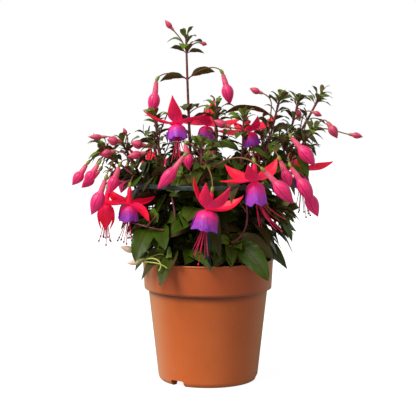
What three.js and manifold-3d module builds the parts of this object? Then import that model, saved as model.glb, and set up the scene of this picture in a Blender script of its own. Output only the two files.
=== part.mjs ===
// A bush fuchsia in flower in a terracotta-coloured plastic pot, held up by a ring on four legs.
// Millimetres, +Z up. The origin is the centre of the pot's underside, and -Y is the front.
import * as THREE from "three";
import { mergeVertices } from "three/addons/utils/BufferGeometryUtils.js";
import Module from "manifold-3d";

const wasm = await Module();
wasm.setup();

// Driving dimensions of the pot
const potHeight = 141;
const rimRadius = 75;
const lipOut = 1.3;
const lipHeight = 2;
const bandHeight = 34;
const bandTaper = 1.8;
const bandStep = 4.6;
const heelRadius = 57.5;
const heelHeight = 7;
const footRadius = 51.5;
const wall = 1.8;
const floorTop = 9;
const grooveIn = 25;
const grooveOut = 46;
const grooveDepth = 6;
const potSides = 26;
const drainHoles = { count: 6, radius: 4, ringRadius: 32.5 };
const footNotches = { count: 3, width: 18, height: 7, firstDegrees: 232 };

// Soil, and the gap that pieces keep where they touch
const gap = 0.35;
const soilEdge = 126;
const soilCrown = 129;
const stemDepth = 14;
const stemSpans = 6;
const caneRise = 30;
const tipRadius = 1.2;
const thickCane = 1.9;

// Support ring and its legs
const ringRadius = 84;
const ringHeight = 228;
const ringBand = 5;
const ringThick = 2;
const ringSides = 26;
const legWidth = 6;
const legThick = 2.2;
const legFootRadius = 67;
const spikeLength = 30;
const footHalfAngle = 15;
const footWidth = 6;
const legAngles = [0, 90, 180, 270];

// Leaves: shares of the leaf's length, and the thickness of its rib
const petioleShare = 0.15;
const petioleHalf = 0.8;
const ribHalf = 0.6;
const foldUp = 0.22;
const lowLeafBelow = 240;
const lowLeaf = { aspect: 0.52, outward: 1.3, recurve: 0.05 };
const highLeaf = { aspect: 0.38, outward: 0.3, recurve: 0.12 };
const longLeaf = 33;
const tipLeaves = 2;
const leafTilt = 66;
const tipLeafTilt = 40;
const droop = { least: 0.1, spread: 0.3, old: 0.35 };
const leafRoll = 48;

// Blooms and buds
const tubeLength = 19;
const tubeRadius = 2.7;
const budTube = 0.3;
const sepalLength = 40;
const sepalWidth = 16;
const sepalHalfThick = 0.7;
const sepalFold = -0.12;
const sepalCurl = 34;
const hangingLift = -40;
const stamenCount = 2;
const antherLength = 2.6;
const ovaryLength = 6.5;
const ovaryRadius = 2;
const pedicelRadius = 0.75;
const corollaSides = 8;

// Leafy shoots. from is a point in the soil, or a parent shoot and the share of its length.
// nodes are the first and last share that carry a pair of leaves, and how many pairs there are.
// leaf is the longest leaf, turn is the first pair's angle about the stem,
// and set lists leaves placed by hand as [share, tip, width, roll in degrees].
const shoots = [
  {
    name: "cane_tall", from: [-12, 5, 0], radius: 2.2,
    bend: [-21, 8, 230], tip: [-25, 8, 396],
    nodes: [0.12, 0.68, 7], leaf: 46, turn: 5,
    set: [
      [0.82, [-55, 2, 343], 12, 40],
      [0.82, [8, 4, 354], 12, -40],
      [0.925, [-43, 6, 381], 9, 30],
      [0.925, [-4, 2, 375], 9, -30],
    ],
  },
  {
    name: "cane_right", from: [14, 4, 0], radius: 2.4,
    bend: [76, 16, 222], tip: [131, 8, 332],
    nodes: [0.2, 0.94, 9], leaf: 44, turn: 40,
    set: [],
  },
  {
    name: "cane_left", from: [-20, -2, 0], radius: 2.3,
    bend: [-62, -8, 205], tip: [-98, -10, 275],
    nodes: [0.2, 0.92, 7], leaf: 44, turn: 60,
    set: [
      [0.8, [-62, -22, 268], 11, -20],
    ],
  },
  {
    name: "cane_front", from: [-4, -18, 0], radius: 2,
    bend: [-8, -52, 190], tip: [-7, -50, 276],
    nodes: [0.16, 0.92, 7], leaf: 46, turn: 20,
    set: [
      [0.45, [-40, -78, 178], 18, -20],
      [0.8, [-16, -94, 226], 12, 10],
      [0.62, [13, -79, 150], 18, -10],
    ],
  },
  {
    name: "cane_back", from: [0, 22, 0], radius: 2.3,
    bend: [4, 62, 200], tip: [10, 74, 302],
    nodes: [0.18, 0.92, 8], leaf: 46, turn: 30,
    set: [],
  },
  {
    name: "cane_centre", from: [5, -2, 0], radius: 2.3,
    bend: [8, -14, 220], tip: [10, -15, 318],
    nodes: [0.2, 0.86, 7], leaf: 48, turn: 75,
    set: [
      [0.92, [72, -14, 305], 15, -30],
      [0.92, [-22, -22, 299], 14, 30],
    ],
  },
  {
    name: "shoot_right_inner", from: ["cane_right", 0.5], radius: 1.5,
    bend: [88, 30, 250], tip: [105, 25, 322],
    nodes: [0.28, 0.92, 5], leaf: 36, turn: 10,
    set: [],
  },
  {
    name: "shoot_right_middle", from: ["cane_right", 0.34], radius: 1.6,
    bend: [58, -8, 230], tip: [82, -5, 326],
    nodes: [0.25, 0.93, 6], leaf: 42, turn: 55,
    set: [],
  },
  {
    name: "shoot_centre_right", from: ["cane_centre", 0.34], radius: 1.5,
    bend: [40, -34, 205], tip: [40, -30, 306],
    nodes: [0.28, 0.94, 6], leaf: 42, turn: 15,
    set: [
      [0.55, [25, -92, 213], 17, 15],
    ],
  },
  {
    name: "shoot_left_low", from: ["cane_left", 0.5], radius: 1.5,
    bend: [-66, -20, 232], tip: [-120, -26, 264],
    nodes: [0.3, 0.93, 5], leaf: 36, turn: 80,
    set: [],
  },
  {
    name: "shoot_left_upper", from: ["cane_tall", 0.22], radius: 1.6,
    bend: [-52, -16, 214], tip: [-60, -16, 304],
    nodes: [0.28, 0.94, 7], leaf: 40, turn: 35,
    set: [
      [0.5, [-72, -60, 222], 15, 10],
    ],
  },
  {
    name: "shoot_right_low", from: ["cane_right", 0.52], radius: 1.4,
    bend: [78, -14, 236], tip: [120, -22, 290],
    nodes: [0.3, 0.92, 5], leaf: 34, turn: 65,
    set: [],
  },
  {
    name: "shoot_right_skirt", from: [24, -8, 0], radius: 1.7,
    bend: [66, -20, 214], tip: [88, -26, 196],
    nodes: [0.3, 0.86, 5], leaf: 50, turn: 45,
    set: [
      [0.72, [95, -50, 152], 13, -20],
      [0.86, [96, -52, 172], 15, -20],
      [0.95, [98, -34, 184], 14, -20],
    ],
  },
  {
    name: "shoot_front_skirt", from: [10, -24, 0], radius: 1.7,
    bend: [24, -44, 172], tip: [28, -58, 162],
    nodes: [0.35, 0.8, 3], leaf: 48, turn: 10,
    set: [
      [0.93, [66, -86, 127], 25, 38],
      [0.86, [71, -64, 149], 22, 30],
      [0.79, [6, -86, 143], 19, -30],
    ],
  },
  {
    name: "shoot_left_skirt", from: [-28, 6, 0], radius: 1.7,
    bend: [-58, -30, 186], tip: [-66, -46, 184],
    nodes: [0.3, 0.86, 4], leaf: 46, turn: 70,
    set: [
      [0.93, [-80, -72, 146], 24, -30],
      [0.84, [-47, -82, 160], 19, -20],
    ],
  },
  {
    name: "shoot_rim", from: [-24, -22, 0], radius: 1.5,
    bend: [-40, -50, 152], tip: [-50, -58, 150],
    nodes: [0.5, 0.5, 1], leaf: 34, turn: 30,
    set: [
      [0.8, [-52, -88, 121], 16, -20],
      [0.93, [-73, -79, 127], 11, -10],
      [0.7, [-38, -84, 143], 13, 0],
      [0.6, [5, -88, 137], 10, 0],
    ],
  },
  {
    name: "shoot_back_right", from: ["cane_back", 0.36], radius: 1.6,
    bend: [48, 50, 200], tip: [68, 58, 284],
    nodes: [0.25, 0.92, 6], leaf: 44, turn: 20,
    set: [],
  },
  {
    name: "shoot_back_left", from: ["cane_back", 0.3], radius: 1.6,
    bend: [-44, 46, 196], tip: [-66, 56, 272],
    nodes: [0.25, 0.92, 6], leaf: 44, turn: 50,
    set: [],
  },
  {
    name: "shoot_back_skirt", from: [10, 34, 0], radius: 1.7,
    bend: [22, 72, 186], tip: [20, 92, 190],
    nodes: [0.3, 0.85, 5], leaf: 50, turn: 35,
    set: [],
  },
];

// Open blooms: the shoot and share that bear each, the top of its tube and the mouth that its sepals
// leave, each sepal's azimuth about the tube (0 right, 270 front), lift and twist in degrees,
// the length and widest radius of its corolla, how far its style hangs, and its sepals' length if unlike the rest.
const blooms = [
  {
    name: "bloom_front", on: ["cane_front", 0.86], top: [4, -94, 224], mouth: [0, -94, 205],
    sepals: [[205, 54, -40], [252, 48, 10], [311, 50, -12], [4, 33, 36]],
    corolla: [23, 13.5], style: 60,
  },
  {
    name: "bloom_right", on: ["shoot_centre_right", 0.52], top: [50, -89, 255], mouth: [51, -90, 236],
    sepals: [[150, 28, -36], [200, 2, -12], [38, 36, 34], [258, 28, 10]],
    corolla: [26, 10.5], style: 66,
  },
  {
    name: "bloom_left", on: ["shoot_left_low", 0.5], top: [-87, -50, 226], mouth: [-88, -50, 207],
    sepals: [[196, 0, -12], [140, 24, -24], [40, 12, 16], [318, -28, 8]],
    corolla: [19, 9.8], style: 44, sepalLength: 36,
  },
  {
    name: "bloom_upper_left", on: ["shoot_left_upper", 0.8], top: [-36, -31, 314], mouth: [-35, -36, 297],
    sepals: [[182, 26, -24], [266, 36, 0], [326, 4, 6], [92, 24, 0]],
    corolla: [18, 10.2], style: 46,
  },
  {
    name: "bloom_upper_middle", on: ["cane_tall", 0.68], top: [1, 16, 311], mouth: [-1, 16, 293],
    sepals: [[164, 6, -30], [262, 26, 0], [350, 18, 30], [80, 50, 0]],
    corolla: [17, 9], style: 42,
  },
  {
    name: "bloom_upper_right", on: ["shoot_centre_right", 0.86], top: [43, 6, 304], mouth: [47, 6, 286],
    sepals: [[204, 14, -30], [290, 24, 0], [20, 16, 30], [112, 20, 0]],
    corolla: [17, 9], style: 42,
  },
  {
    name: "bloom_left_opening", on: ["shoot_left_low", 0.78], top: [-112, -46, 223], mouth: [-113, -47, 204],
    sepals: [[0, -86, 0], [90, -86, 0], [180, -86, 0], [270, -86, 0]],
    corolla: [15, 4.8], style: 42, sepalLength: 28,
  },
  {
    name: "bloom_far_right", on: ["shoot_right_low", 0.55], top: [105, 22, 258], mouth: [107, 22, 240],
    sepals: [[10, 8, 30], [100, 20, 0], [190, 74, 0], [280, 4, 0]],
    corolla: [19, 9], style: 54,
  },
  {
    name: "bloom_back_left", on: ["shoot_back_left", 0.78], top: [-64, 96, 260], mouth: [-64, 97, 242],
    sepals: [[15, 20, 30], [285, 22, 0], [195, 34, -30], [105, 26, 0]],
    corolla: [24, 12], style: 54,
  },
  {
    name: "bloom_back_right", on: ["shoot_back_right", 0.6], top: [62, 98, 242], mouth: [62, 99, 224],
    sepals: [[40, 24, 20], [310, 26, 0], [220, 30, -20], [130, 34, 0]],
    corolla: [26, 12.5], style: 58,
  },
];

// Full-sized buds: name, the shoot and share that bear it, the top of its tube, its tip, its widest radius.
const buds = [
  ["bud_tall_left", "cane_tall", 0.82, [-59, 4, 343], [-65, 4, 305], 7],
  ["bud_tall_right", "cane_tall", 0.82, [17, 0, 351], [25, -1, 317], 7],
  ["bud_left_outer", "shoot_left_low", 0.93, [-137, -27, 250], [-153, -27, 227], 6.2],
  ["bud_left_mid", "shoot_left_low", 0.93, [-123, -42, 251], [-138, -43, 230], 6.2],
  ["bud_left_inner", "shoot_left_low", 0.93, [-124, -13, 242], [-144, -13, 223], 6],
  ["bud_left_large", "shoot_left_low", 0.78, [-113, -70, 236], [-128, -71, 198], 8],
  ["bud_left_near", "cane_left", 0.7, [-99, -52, 249], [-110, -53, 220], 6.6],
  ["bud_front_left", "cane_front", 0.74, [-27, -77, 262], [-55, -80, 227], 7.4],
  ["bud_front_upper", "cane_front", 0.9, [-25, -54, 274], [-21, -55, 246], 6],
  ["bud_front_right", "cane_front", 0.74, [61, -108, 248], [91, -110, 214], 8.2],
  ["bud_right_pale", "shoot_right_middle", 0.45, [80, -58, 256], [91, -58, 227], 6.2],
  ["bud_right_near", "shoot_right_low", 0.55, [92, -58, 249], [116, -60, 210], 8],
  ["bud_right_behind", "shoot_right_low", 0.3, [105, -40, 229], [123, -43, 193], 7.6],
  ["bud_right_upper", "shoot_right_low", 0.78, [93, -42, 281], [119, -46, 250], 7.8],
  ["bud_back_centre", "cane_back", 0.8, [2, 104, 270], [2, 108, 234], 7.6],
  ["bud_back_left", "shoot_back_left", 0.6, [-96, 62, 244], [-104, 66, 210], 7.4],
  ["bud_back_right", "shoot_back_right", 0.78, [100, 66, 262], [108, 68, 227], 7.4],
];

// Young buds that stay fused to the shoot that bears them: shoot, share, base, tip, radius.
const youngBuds = [
  ["cane_tall", 0.925, [-39, 9, 401], [-49, 9, 413], 3.2],
  ["cane_tall", 0.925, [-9, 6, 387], [-1, 5, 385], 2.6],
  ["cane_left", 0.94, [-115, -12, 281], [-136, -12, 281], 3.4],
  ["cane_left", 0.83, [-98, -26, 276], [-113, -34, 279], 5.6],
  ["cane_left", 0.94, [-92, -8, 281], [-96, -8, 291], 2.4],
  ["cane_left", 0.7, [-70, -18, 271], [-87, -24, 275], 5.2],
  ["cane_left", 0.56, [-70, -30, 264], [-90, -36, 260], 5],
  ["shoot_left_low", 0.93, [-104, -32, 266], [-122, -38, 262], 5],
  ["shoot_centre_right", 0.86, [25, -46, 293], [6, -48, 301], 4.8],
  ["shoot_right_middle", 0.65, [62, -12, 330], [47, -12, 336], 3.8],
  ["shoot_right_low", 0.92, [159, -18, 284], [175, -18, 281], 3.6],
  ["shoot_right_low", 0.92, [134, -28, 298], [145, -30, 280], 5.4],
  ["cane_right", 0.77, [118, 2, 309], [130, 0, 304], 3.2],
  ["shoot_right_inner", 0.78, [106, 14, 300], [103, 12, 312], 3.4],
  ["shoot_rim", 0.95, [-70, -56, 147], [-90, -56, 142], 3.6],
  ["shoot_left_skirt", 0.88, [-78, -46, 154], [-98, -48, 160], 3.8],
];

const colours = {
  terracotta: { color: 0xb5603a, roughness: 0.5, metalness: 0 },
  soil: { color: 0x1d1611, roughness: 0.95, metalness: 0 },
  support: { color: 0x1c2622, roughness: 0.45, metalness: 0 },
  foliage: { color: 0x2f4a1c, roughness: 0.45, metalness: 0 },
  calyx: { color: 0xd4163c, roughness: 0.45, metalness: 0 },
  corolla: { color: 0x8d2ea8, roughness: 0.5, metalness: 0 },
  bud: { color: 0xd83468, roughness: 0.45, metalness: 0 },
};

const up = new THREE.Vector3(0, 0, 1);
const degrees = THREE.MathUtils.degToRad;
const point = (p) => new THREE.Vector3(...p);

// A number from 0 to 1 that depends only on its keys, so that the plant grows the same each time.
function chance(...keys) {
  let h = 2166136261;
  for (const k of keys) {
    h = Math.imul(h ^ k, 16777619);
    h ^= h >>> 13;
    h = Math.imul(h, 0x5bd1e995);
    h ^= h >>> 15;
  }
  return (h >>> 0) / 4294967296;
}

// Closed geometry from points and triangles, turned so that its faces point out.
function closedGeometry(points, triangles) {
  let volume = 0;
  const cross = new THREE.Vector3();
  for (const [a, b, c] of triangles) {
    volume += points[a].dot(cross.crossVectors(points[b], points[c]));
  }
  const order = volume < 0 ? ([a, b, c]) => [a, c, b] : (t) => t;
  const geometry = new THREE.BufferGeometry();
  geometry.setAttribute("position", new THREE.Float32BufferAttribute(points.flatMap((p) => p.toArray()), 3));
  geometry.setIndex(triangles.flatMap(order));
  return geometry;
}

function toSolid(geometry) {
  const bare = geometry.clone();
  bare.deleteAttribute("normal");
  bare.deleteAttribute("uv");
  const merged = mergeVertices(bare, 1e-4);
  const mesh = new wasm.Mesh({
    numProp: 3,
    vertProperties: merged.getAttribute("position").array,
    triVerts: new Uint32Array(merged.index.array),
  });
  return new wasm.Manifold(mesh);
}

function toGeometry(solid) {
  const mesh = solid.getMesh();
  const geometry = new THREE.BufferGeometry();
  geometry.setAttribute("position", new THREE.BufferAttribute(mesh.vertProperties, 3));
  geometry.setIndex(new THREE.BufferAttribute(mesh.triVerts, 1));
  geometry.computeVertexNormals();
  return geometry;
}

// Joins solids and keeps the one body they make: a sealed hollow is filled and a loose scrap dropped.
function fuse(solids) {
  const joined = solids.reduce((whole, piece) => whole.add(piece));
  const bodies = joined.decompose();
  return bodies.reduce((a, b) => (b.volume() > a.volume() ? b : a));
}

// Rings of points joined into a closed skin. A ring of one point is a tip; open ends get a flat cap.
function loft(rings) {
  const points = rings.flat();
  const starts = [];
  rings.reduce((n, ring) => (starts.push(n), n + ring.length), 0);
  const triangles = [];
  for (let k = 0; k + 1 < rings.length; k += 1) {
    const [a, b] = [starts[k], starts[k + 1]];
    const [na, nb] = [rings[k].length, rings[k + 1].length];
    for (let i = 0; i < Math.max(na, nb); i += 1) {
      const j = (i + 1) % Math.max(na, nb);
      // Split from the even side, so that a thin blade's two faces are cut alike.
      const even = i % 2 === 0;
      if (nb === 1) triangles.push([a + i, a + j, b]);
      else if (na === 1) triangles.push([a, b + j, b + i]);
      else if (even) triangles.push([a + i, a + j, b + j], [a + i, b + j, b + i]);
      else triangles.push([a + i, a + j, b + i], [a + j, b + j, b + i]);
    }
  }
  const cap = (start, n, flip) => {
    for (let i = 1; i + 1 < n; i += 1) {
      triangles.push(flip ? [start, start + i + 1, start + i] : [start, start + i, start + i + 1]);
    }
  };
  const last = rings.length - 1;
  if (rings[0].length > 1) cap(starts[0], rings[0].length, true);
  if (rings[last].length > 1) cap(starts[last], rings[last].length, false);
  return toSolid(closedGeometry(points, triangles));
}

// A round rod along a curve. stops are [share, radius]; a radius of 0 ends it in a point.
function rod(curve, stops, sides) {
  const steps = 60;
  const frames = curve.computeFrenetFrames(steps, false);
  return loft(
    stops.map(([share, radius]) => {
      const centre = curve.getPointAt(Math.min(Math.max(share, 0), 1));
      if (radius === 0) return [centre];
      const k = Math.round(share * steps);
      return Array.from({ length: sides }, (_, i) => {
        const angle = (2 * Math.PI * i) / sides;
        return centre
          .clone()
          .addScaledVector(frames.normals[k], radius * Math.cos(angle))
          .addScaledVector(frames.binormals[k], radius * Math.sin(angle));
      });
    }),
  );
}

// A thin blade: at each station a left edge, a rib above, a right edge and a rib below.
// It starts in a point, which is sunk into what bears it, and ends in one.
function blade({ path, side, halfWidth, stations, thick, fold }) {
  const step = 0.02;
  return loft(
    stations.map((u) => {
      const p = path(u);
      if (u <= 0 || u >= 1) return [p];
      const along = path(Math.min(u + step, 1)).sub(path(Math.max(u - step, 0))).normalize();
      const across = side.clone().addScaledVector(along, -side.dot(along)).normalize();
      const above = across.clone().cross(along).normalize();
      const w = halfWidth(u);
      const lift = fold * w;
      return [
        p.clone().addScaledVector(across, -w).addScaledVector(above, lift),
        p.clone().addScaledVector(above, thick),
        p.clone().addScaledVector(across, w).addScaledVector(above, lift),
        p.clone().addScaledVector(above, -thick),
      ];
    }),
  );
}

// Pot: straight tapered wall below the step, a nearly straight band above it, and a rounded heel
function potOuterRadius(z) {
  const stepHeight = potHeight - bandHeight;
  const bodyTop = rimRadius - bandTaper - bandStep;
  return heelRadius + ((bodyTop - heelRadius) * (z - heelHeight)) / (stepHeight - heelHeight);
}

function buildPot() {
  const stepHeight = potHeight - bandHeight;
  const bodyTop = potOuterRadius(stepHeight);
  const bandBottom = rimRadius - bandTaper;
  const heel = [0.4, 1].map((s) => [
    footRadius + (heelRadius - footRadius) * Math.sin((s * Math.PI) / 2),
    heelHeight * (1 - Math.cos((s * Math.PI) / 2)),
  ]);
  const outside = [
    [0, 0],
    [grooveIn - 1, 0],
    [grooveIn + 1, grooveDepth],
    [grooveOut - 1, grooveDepth],
    [grooveOut + 1, 0],
    [footRadius, 0],
    ...heel,
    [bodyTop, stepHeight - 1],
    [bandBottom, stepHeight],
    [rimRadius, potHeight - lipHeight],
    [rimRadius + lipOut, potHeight - lipHeight / 2],
    [rimRadius + lipOut / 2, potHeight],
  ];
  const inside = [
    [rimRadius - wall, potHeight],
    [bandBottom - wall, stepHeight + 3],
    [bodyTop - wall, stepHeight + 1],
    [heelRadius - wall, floorTop + 3],
    [footRadius - wall / 2, floorTop],
    [0, floorTop],
  ];
  const profile = [...outside, ...inside].map(([r, z]) => new THREE.Vector2(r, z));
  let pot = toSolid(new THREE.LatheGeometry(profile, potSides).rotateX(Math.PI / 2));
  for (let i = 0; i < drainHoles.count; i += 1) {
    const angle = (2 * Math.PI * (i + 0.5)) / drainHoles.count;
    const drill = new THREE.CylinderGeometry(drainHoles.radius, drainHoles.radius, 4 * floorTop, 6)
      .rotateX(Math.PI / 2)
      .translate(drainHoles.ringRadius * Math.cos(angle), drainHoles.ringRadius * Math.sin(angle), floorTop);
    pot = pot.subtract(toSolid(drill));
  }
  for (let i = 0; i < footNotches.count; i += 1) {
    const reach = heelRadius - grooveOut;
    const notch = new THREE.BoxGeometry(reach + 10, footNotches.width, 2 * footNotches.height)
      .translate(grooveOut + reach / 2 + 3, 0, 0)
      .rotateZ(degrees(footNotches.firstDegrees) + (2 * Math.PI * i) / footNotches.count);
    pot = pot.subtract(toSolid(notch));
  }
  return pot;
}

// Support ring: a leg seen from the side, made fatter by grow for the slot that it stands in
function legOutline(grow) {
  const lean = (ringRadius - legFootRadius) / (ringHeight - soilEdge);
  const spikeRadius = legFootRadius - spikeLength * lean;
  const half = legThick / 2 + grow;
  const shape = new THREE.Shape();
  shape.moveTo(ringRadius - half, ringHeight);
  shape.lineTo(spikeRadius - half, soilEdge - spikeLength - grow);
  shape.lineTo(spikeRadius + half, soilEdge - spikeLength - grow);
  shape.lineTo(ringRadius + half, ringHeight);
  return shape;
}

function legSolid(angle, grow) {
  const width = legWidth + 2 * grow;
  const geometry = new THREE.ExtrudeGeometry(legOutline(grow), { depth: width, bevelEnabled: false })
    .translate(0, 0, -width / 2)
    .rotateX(Math.PI / 2)
    .rotateZ(angle);
  return toSolid(geometry);
}

function footPlate(angle) {
  const shape = new THREE.Shape();
  const half = degrees(footHalfAngle);
  shape.absarc(0, 0, legFootRadius + 1, -half, half, false);
  shape.absarc(0, 0, legFootRadius + 1 - footWidth, half, -half, true);
  const geometry = new THREE.ExtrudeGeometry(shape, { depth: 2, bevelEnabled: false, curveSegments: 2 })
    .translate(0, 0, soilCrown + gap)
    .rotateZ(angle);
  return toSolid(geometry);
}

function buildSupport() {
  const inner = ringRadius - ringThick / 2;
  const outer = ringRadius + ringThick / 2;
  const low = ringHeight - ringBand / 2;
  const high = ringHeight + ringBand / 2;
  const profile = [[inner, low], [outer, low], [outer, high], [inner, high], [inner, low]];
  const section = profile.map(([r, z]) => new THREE.Vector2(r, z));
  const ring = new THREE.LatheGeometry(section, ringSides).rotateX(Math.PI / 2);
  const pieces = [toSolid(ring)];
  for (const angle of legAngles) {
    pieces.push(legSolid(degrees(angle), 0), footPlate(degrees(angle)));
  }
  return fuse(pieces);
}

// Shoots that have grown so far, by name
const grown = new Map();

// The curve of a shoot, the radius along it and the side that its leaves turn about.
function growStem(shoot) {
  const bend = point(shoot.bend);
  const tip = point(shoot.tip);
  const [bearer, share] = shoot.from;
  const parent = grown.get(bearer);
  let start;
  let curve;
  if (parent) {
    start = stemPoint(parent.curve, share);
    curve = new THREE.QuadraticBezierCurve3(start, bend, tip);
  } else {
    start = point(shoot.from).setZ(soilCrown - stemDepth);
    const rise = start.clone().lerp(bend, 0.12).setZ(soilCrown + caneRise);
    curve = new THREE.CubicBezierCurve3(start, rise, bend, tip);
  }
  const side = new THREE.Vector3(start.y - tip.y, tip.x - start.x, 0).normalize();
  const radiusAt = (t) => shoot.radius + (tipRadius - shoot.radius) * t;
  grown.set(shoot.name, { shoot, parent, curve, side, radiusAt, pieces: [] });
}

// The centre of the faceted stem, which cuts the corners of its curve.
function stemPoint(curve, t) {
  const k = Math.min(Math.floor(t * stemSpans), stemSpans - 1);
  return curve.getPointAt(k / stemSpans).lerp(curve.getPointAt((k + 1) / stemSpans), t * stemSpans - k);
}

function stemRod({ curve, shoot, radiusAt }, grow) {
  const stops = Array.from({ length: stemSpans }, (_, k) => [k / stemSpans, radiusAt(k / stemSpans) + grow]);
  return rod(curve, [...stops, [1, 0]], shoot.radius > thickCane ? 5 : 4);
}

// A branch starts in the middle of the cane that bears it, and is cut to sit against its side.
function stemSolid(plant) {
  const stem = stemRod(plant, 0);
  return plant.parent ? fuse([stem.subtract(stemRod(plant.parent, 1.3 * gap))]) : stem;
}

// Half a leaf's width at a share of its length: a narrow petiole, then a blade widest below its middle.
const leafHalfWidth = (width) => (u) => {
  const inBlade = Math.max(u - petioleShare, 0) / (1 - petioleShare);
  return Math.max(petioleHalf, (width / 2) * Math.sin(Math.PI * inBlade ** 0.75));
};

// A leaf's rib runs from its base to its tip and arches up between them.
function leafPath(leaf) {
  return (u) => leaf.base.clone().lerp(leaf.tip, u).addScaledVector(up, 4 * leaf.arch * u * (1 - u));
}

// Leaves low on the plant are broad and face outwards; those above are narrow and face up.
const leafStyle = (base) => (base.z < lowLeafBelow ? lowLeaf : highLeaf);

// The blade's crosswise direction: the leaf faces up the stem, up and outwards, then rolls about its rib.
function leafSide(base, tip, along, rollDegrees) {
  const run = tip.clone().sub(base).normalize();
  const outward = tip.clone().setZ(0).normalize();
  const facing = along.clone().multiplyScalar(0.35).addScaledVector(up, 0.65)
    .addScaledVector(outward, leafStyle(base).outward);
  return run.clone().cross(facing).normalize().applyAxisAngle(run, degrees(rollDegrees));
}

function leafSolid(leaf) {
  return blade({
    path: leafPath(leaf),
    side: leaf.side,
    halfWidth: leafHalfWidth(leaf.width),
    stations: leaf.length > longLeaf ? [0, 0.28, 0.64, 1] : [0, 0.45, 1],
    thick: ribHalf,
    fold: foldUp,
  });
}

// Points spread over a leaf, for keeping it clear of what already stands there.
function leafSamples(leaf) {
  const path = leafPath(leaf);
  const half = leafHalfWidth(leaf.width);
  const found = [];
  for (const u of [0.25, 0.4, 0.55, 0.7, 0.85, 1]) {
    for (const v of u < 1 ? [-0.6, 0, 0.6] : [0]) {
      found.push(path(u).addScaledVector(leaf.side, v * half(u)));
    }
  }
  return found;
}

// What already stands is a list of balls, each owned by a node. A leaf that would touch one is tried
// again, lifted and swung by each of the bends in turn, in degrees.
const balls = [];
const leafBall = 2.6;
const ownLeafReach = 3.4;
const stemClearance = 0.5;
const bends = [
  [0, 0], [16, 0], [-16, 0], [0, 22], [0, -22], [30, 12], [30, -12], [-28, 0], [0, 40], [0, -40], [44, 0],
];

function mark(owner, points, radius, leafy = false) {
  for (const p of points) balls.push({ owner, p, radius, leafy });
}

// True where a leaf's point would touch the soil or the rim's wall.
function inPot(p) {
  const r = Math.hypot(p.x, p.y);
  if (p.z < soilCrown + leafBall && r < rimRadius - wall) return true;
  return p.z < potHeight + leafBall && r > rimRadius - wall - leafBall && r < rimRadius + lipOut + leafBall;
}

function isClear(owner, points) {
  for (const p of points) {
    if (inPot(p)) return false;
    for (const ball of balls) {
      const ownReach = ball.leafy ? ownLeafReach : 0;
      const reach = ball.owner === owner ? ownReach : leafBall + ball.radius;
      if (p.distanceToSquared(ball.p) < reach ** 2) return false;
    }
  }
  return true;
}

// Leaves shrink towards the shoot's tip.
function leafLength(longest, t) {
  return longest * (t < 0.6 ? 1 : 1 - 1.55 * (t - 0.6));
}

function growLeaf(index, plant, { t, angle, tilt, length, key }) {
  const { shoot, curve, side } = plant;
  const base = stemPoint(curve, t);
  const along = curve.getTangentAt(t);
  const first = side.clone().addScaledVector(along, -side.dot(along)).normalize();
  const second = along.clone().cross(first);
  const style = leafStyle(base);
  const age = droop.least + droop.spread * chance(index, key, 3) + droop.old * (1 - t);
  const sag = age * Math.min(1, length / 30) * length;
  for (const [lift, swing] of bends) {
    const a = degrees(angle + swing);
    const b = degrees(tilt - lift);
    const out = first.clone().multiplyScalar(Math.cos(a)).addScaledVector(second, Math.sin(a));
    const direction = along.clone().multiplyScalar(Math.cos(b)).addScaledVector(out, Math.sin(b));
    const tip = base.clone().addScaledVector(direction, length).addScaledVector(up, -sag);
    const width = length * style.aspect * (0.92 + 0.16 * chance(index, key, 4));
    const leafward = leafSide(base, tip, along, leafRoll * (chance(index, key, 5) - 0.5));
    const leaf = { base, tip, arch: sag / 4 + style.recurve * length, length, width, side: leafward };
    const samples = leafSamples(leaf);
    if (isClear(shoot.name, samples)) {
      mark(shoot.name, samples, leafBall, true);
      return leaf;
    }
  }
  return null;
}

// The leaves placed by hand come first, then the pairs up the stem, then the bunch at its tip.
function growLeaves(index, plant) {
  const { shoot, curve } = plant;
  const leaves = [];
  for (const [t, end, width, roll] of shoot.set) {
    const base = stemPoint(curve, t);
    const tip = point(end);
    const length = base.distanceTo(tip);
    const side = leafSide(base, tip, curve.getTangentAt(t), roll);
    const leaf = { base, tip, arch: 0.16 * length, length, width, side };
    mark(shoot.name, leafSamples(leaf), leafBall, true);
    leaves.push(leaf);
  }
  const [firstShare, lastShare, pairCount] = shoot.nodes;
  for (let k = 0; k < pairCount; k += 1) {
    const t = firstShare + ((lastShare - firstShare) * k) / Math.max(pairCount - 1, 1);
    for (const half of [0, 1]) {
      const key = 10 * k + half;
      const angle = shoot.turn + 90 * k + 180 * half + 24 * (chance(index, key, 1) - 0.5);
      const length = leafLength(shoot.leaf, t) * (0.88 + 0.22 * chance(index, key, 2));
      leaves.push(growLeaf(index, plant, { t, angle, tilt: leafTilt, length, key }));
    }
  }
  for (let k = 0; k < tipLeaves; k += 1) {
    const key = 200 + k;
    const angle = shoot.turn + 45 + (360 * k) / tipLeaves + 30 * (chance(index, key, 1) - 0.5);
    const length = 11 + 5 * chance(index, key, 2);
    leaves.push(growLeaf(index, plant, { t: 0.93, angle, tilt: tipLeafTilt, length, key }));
  }
  return leaves.filter((leaf) => leaf);
}

// The stalk of a bud or bloom leaves the shoot outwards, arches over and meets the top of the tube along its axis.
function stalkCurve(plant, t, top, axis) {
  const start = stemPoint(plant.curve, t);
  const span = start.distanceTo(top);
  const first = start.clone().lerp(top, 0.3).addScaledVector(up, 0.28 * span);
  const second = top.clone().addScaledVector(axis, -0.36 * span);
  return new THREE.CubicBezierCurve3(start, first, second, top);
}

// The stalk ends in the ovary, just short of the tube.
function stalkRod(curve) {
  const back = (mm) => 1 - mm / curve.getLength();
  const stops = [
    [0, 0],
    [0.12, pedicelRadius],
    [0.5, pedicelRadius],
    [back(ovaryLength), pedicelRadius],
    [back(ovaryLength / 2), ovaryRadius],
    [back(gap), ovaryRadius * 0.8],
  ];
  return rod(curve, stops, 4);
}

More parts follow.
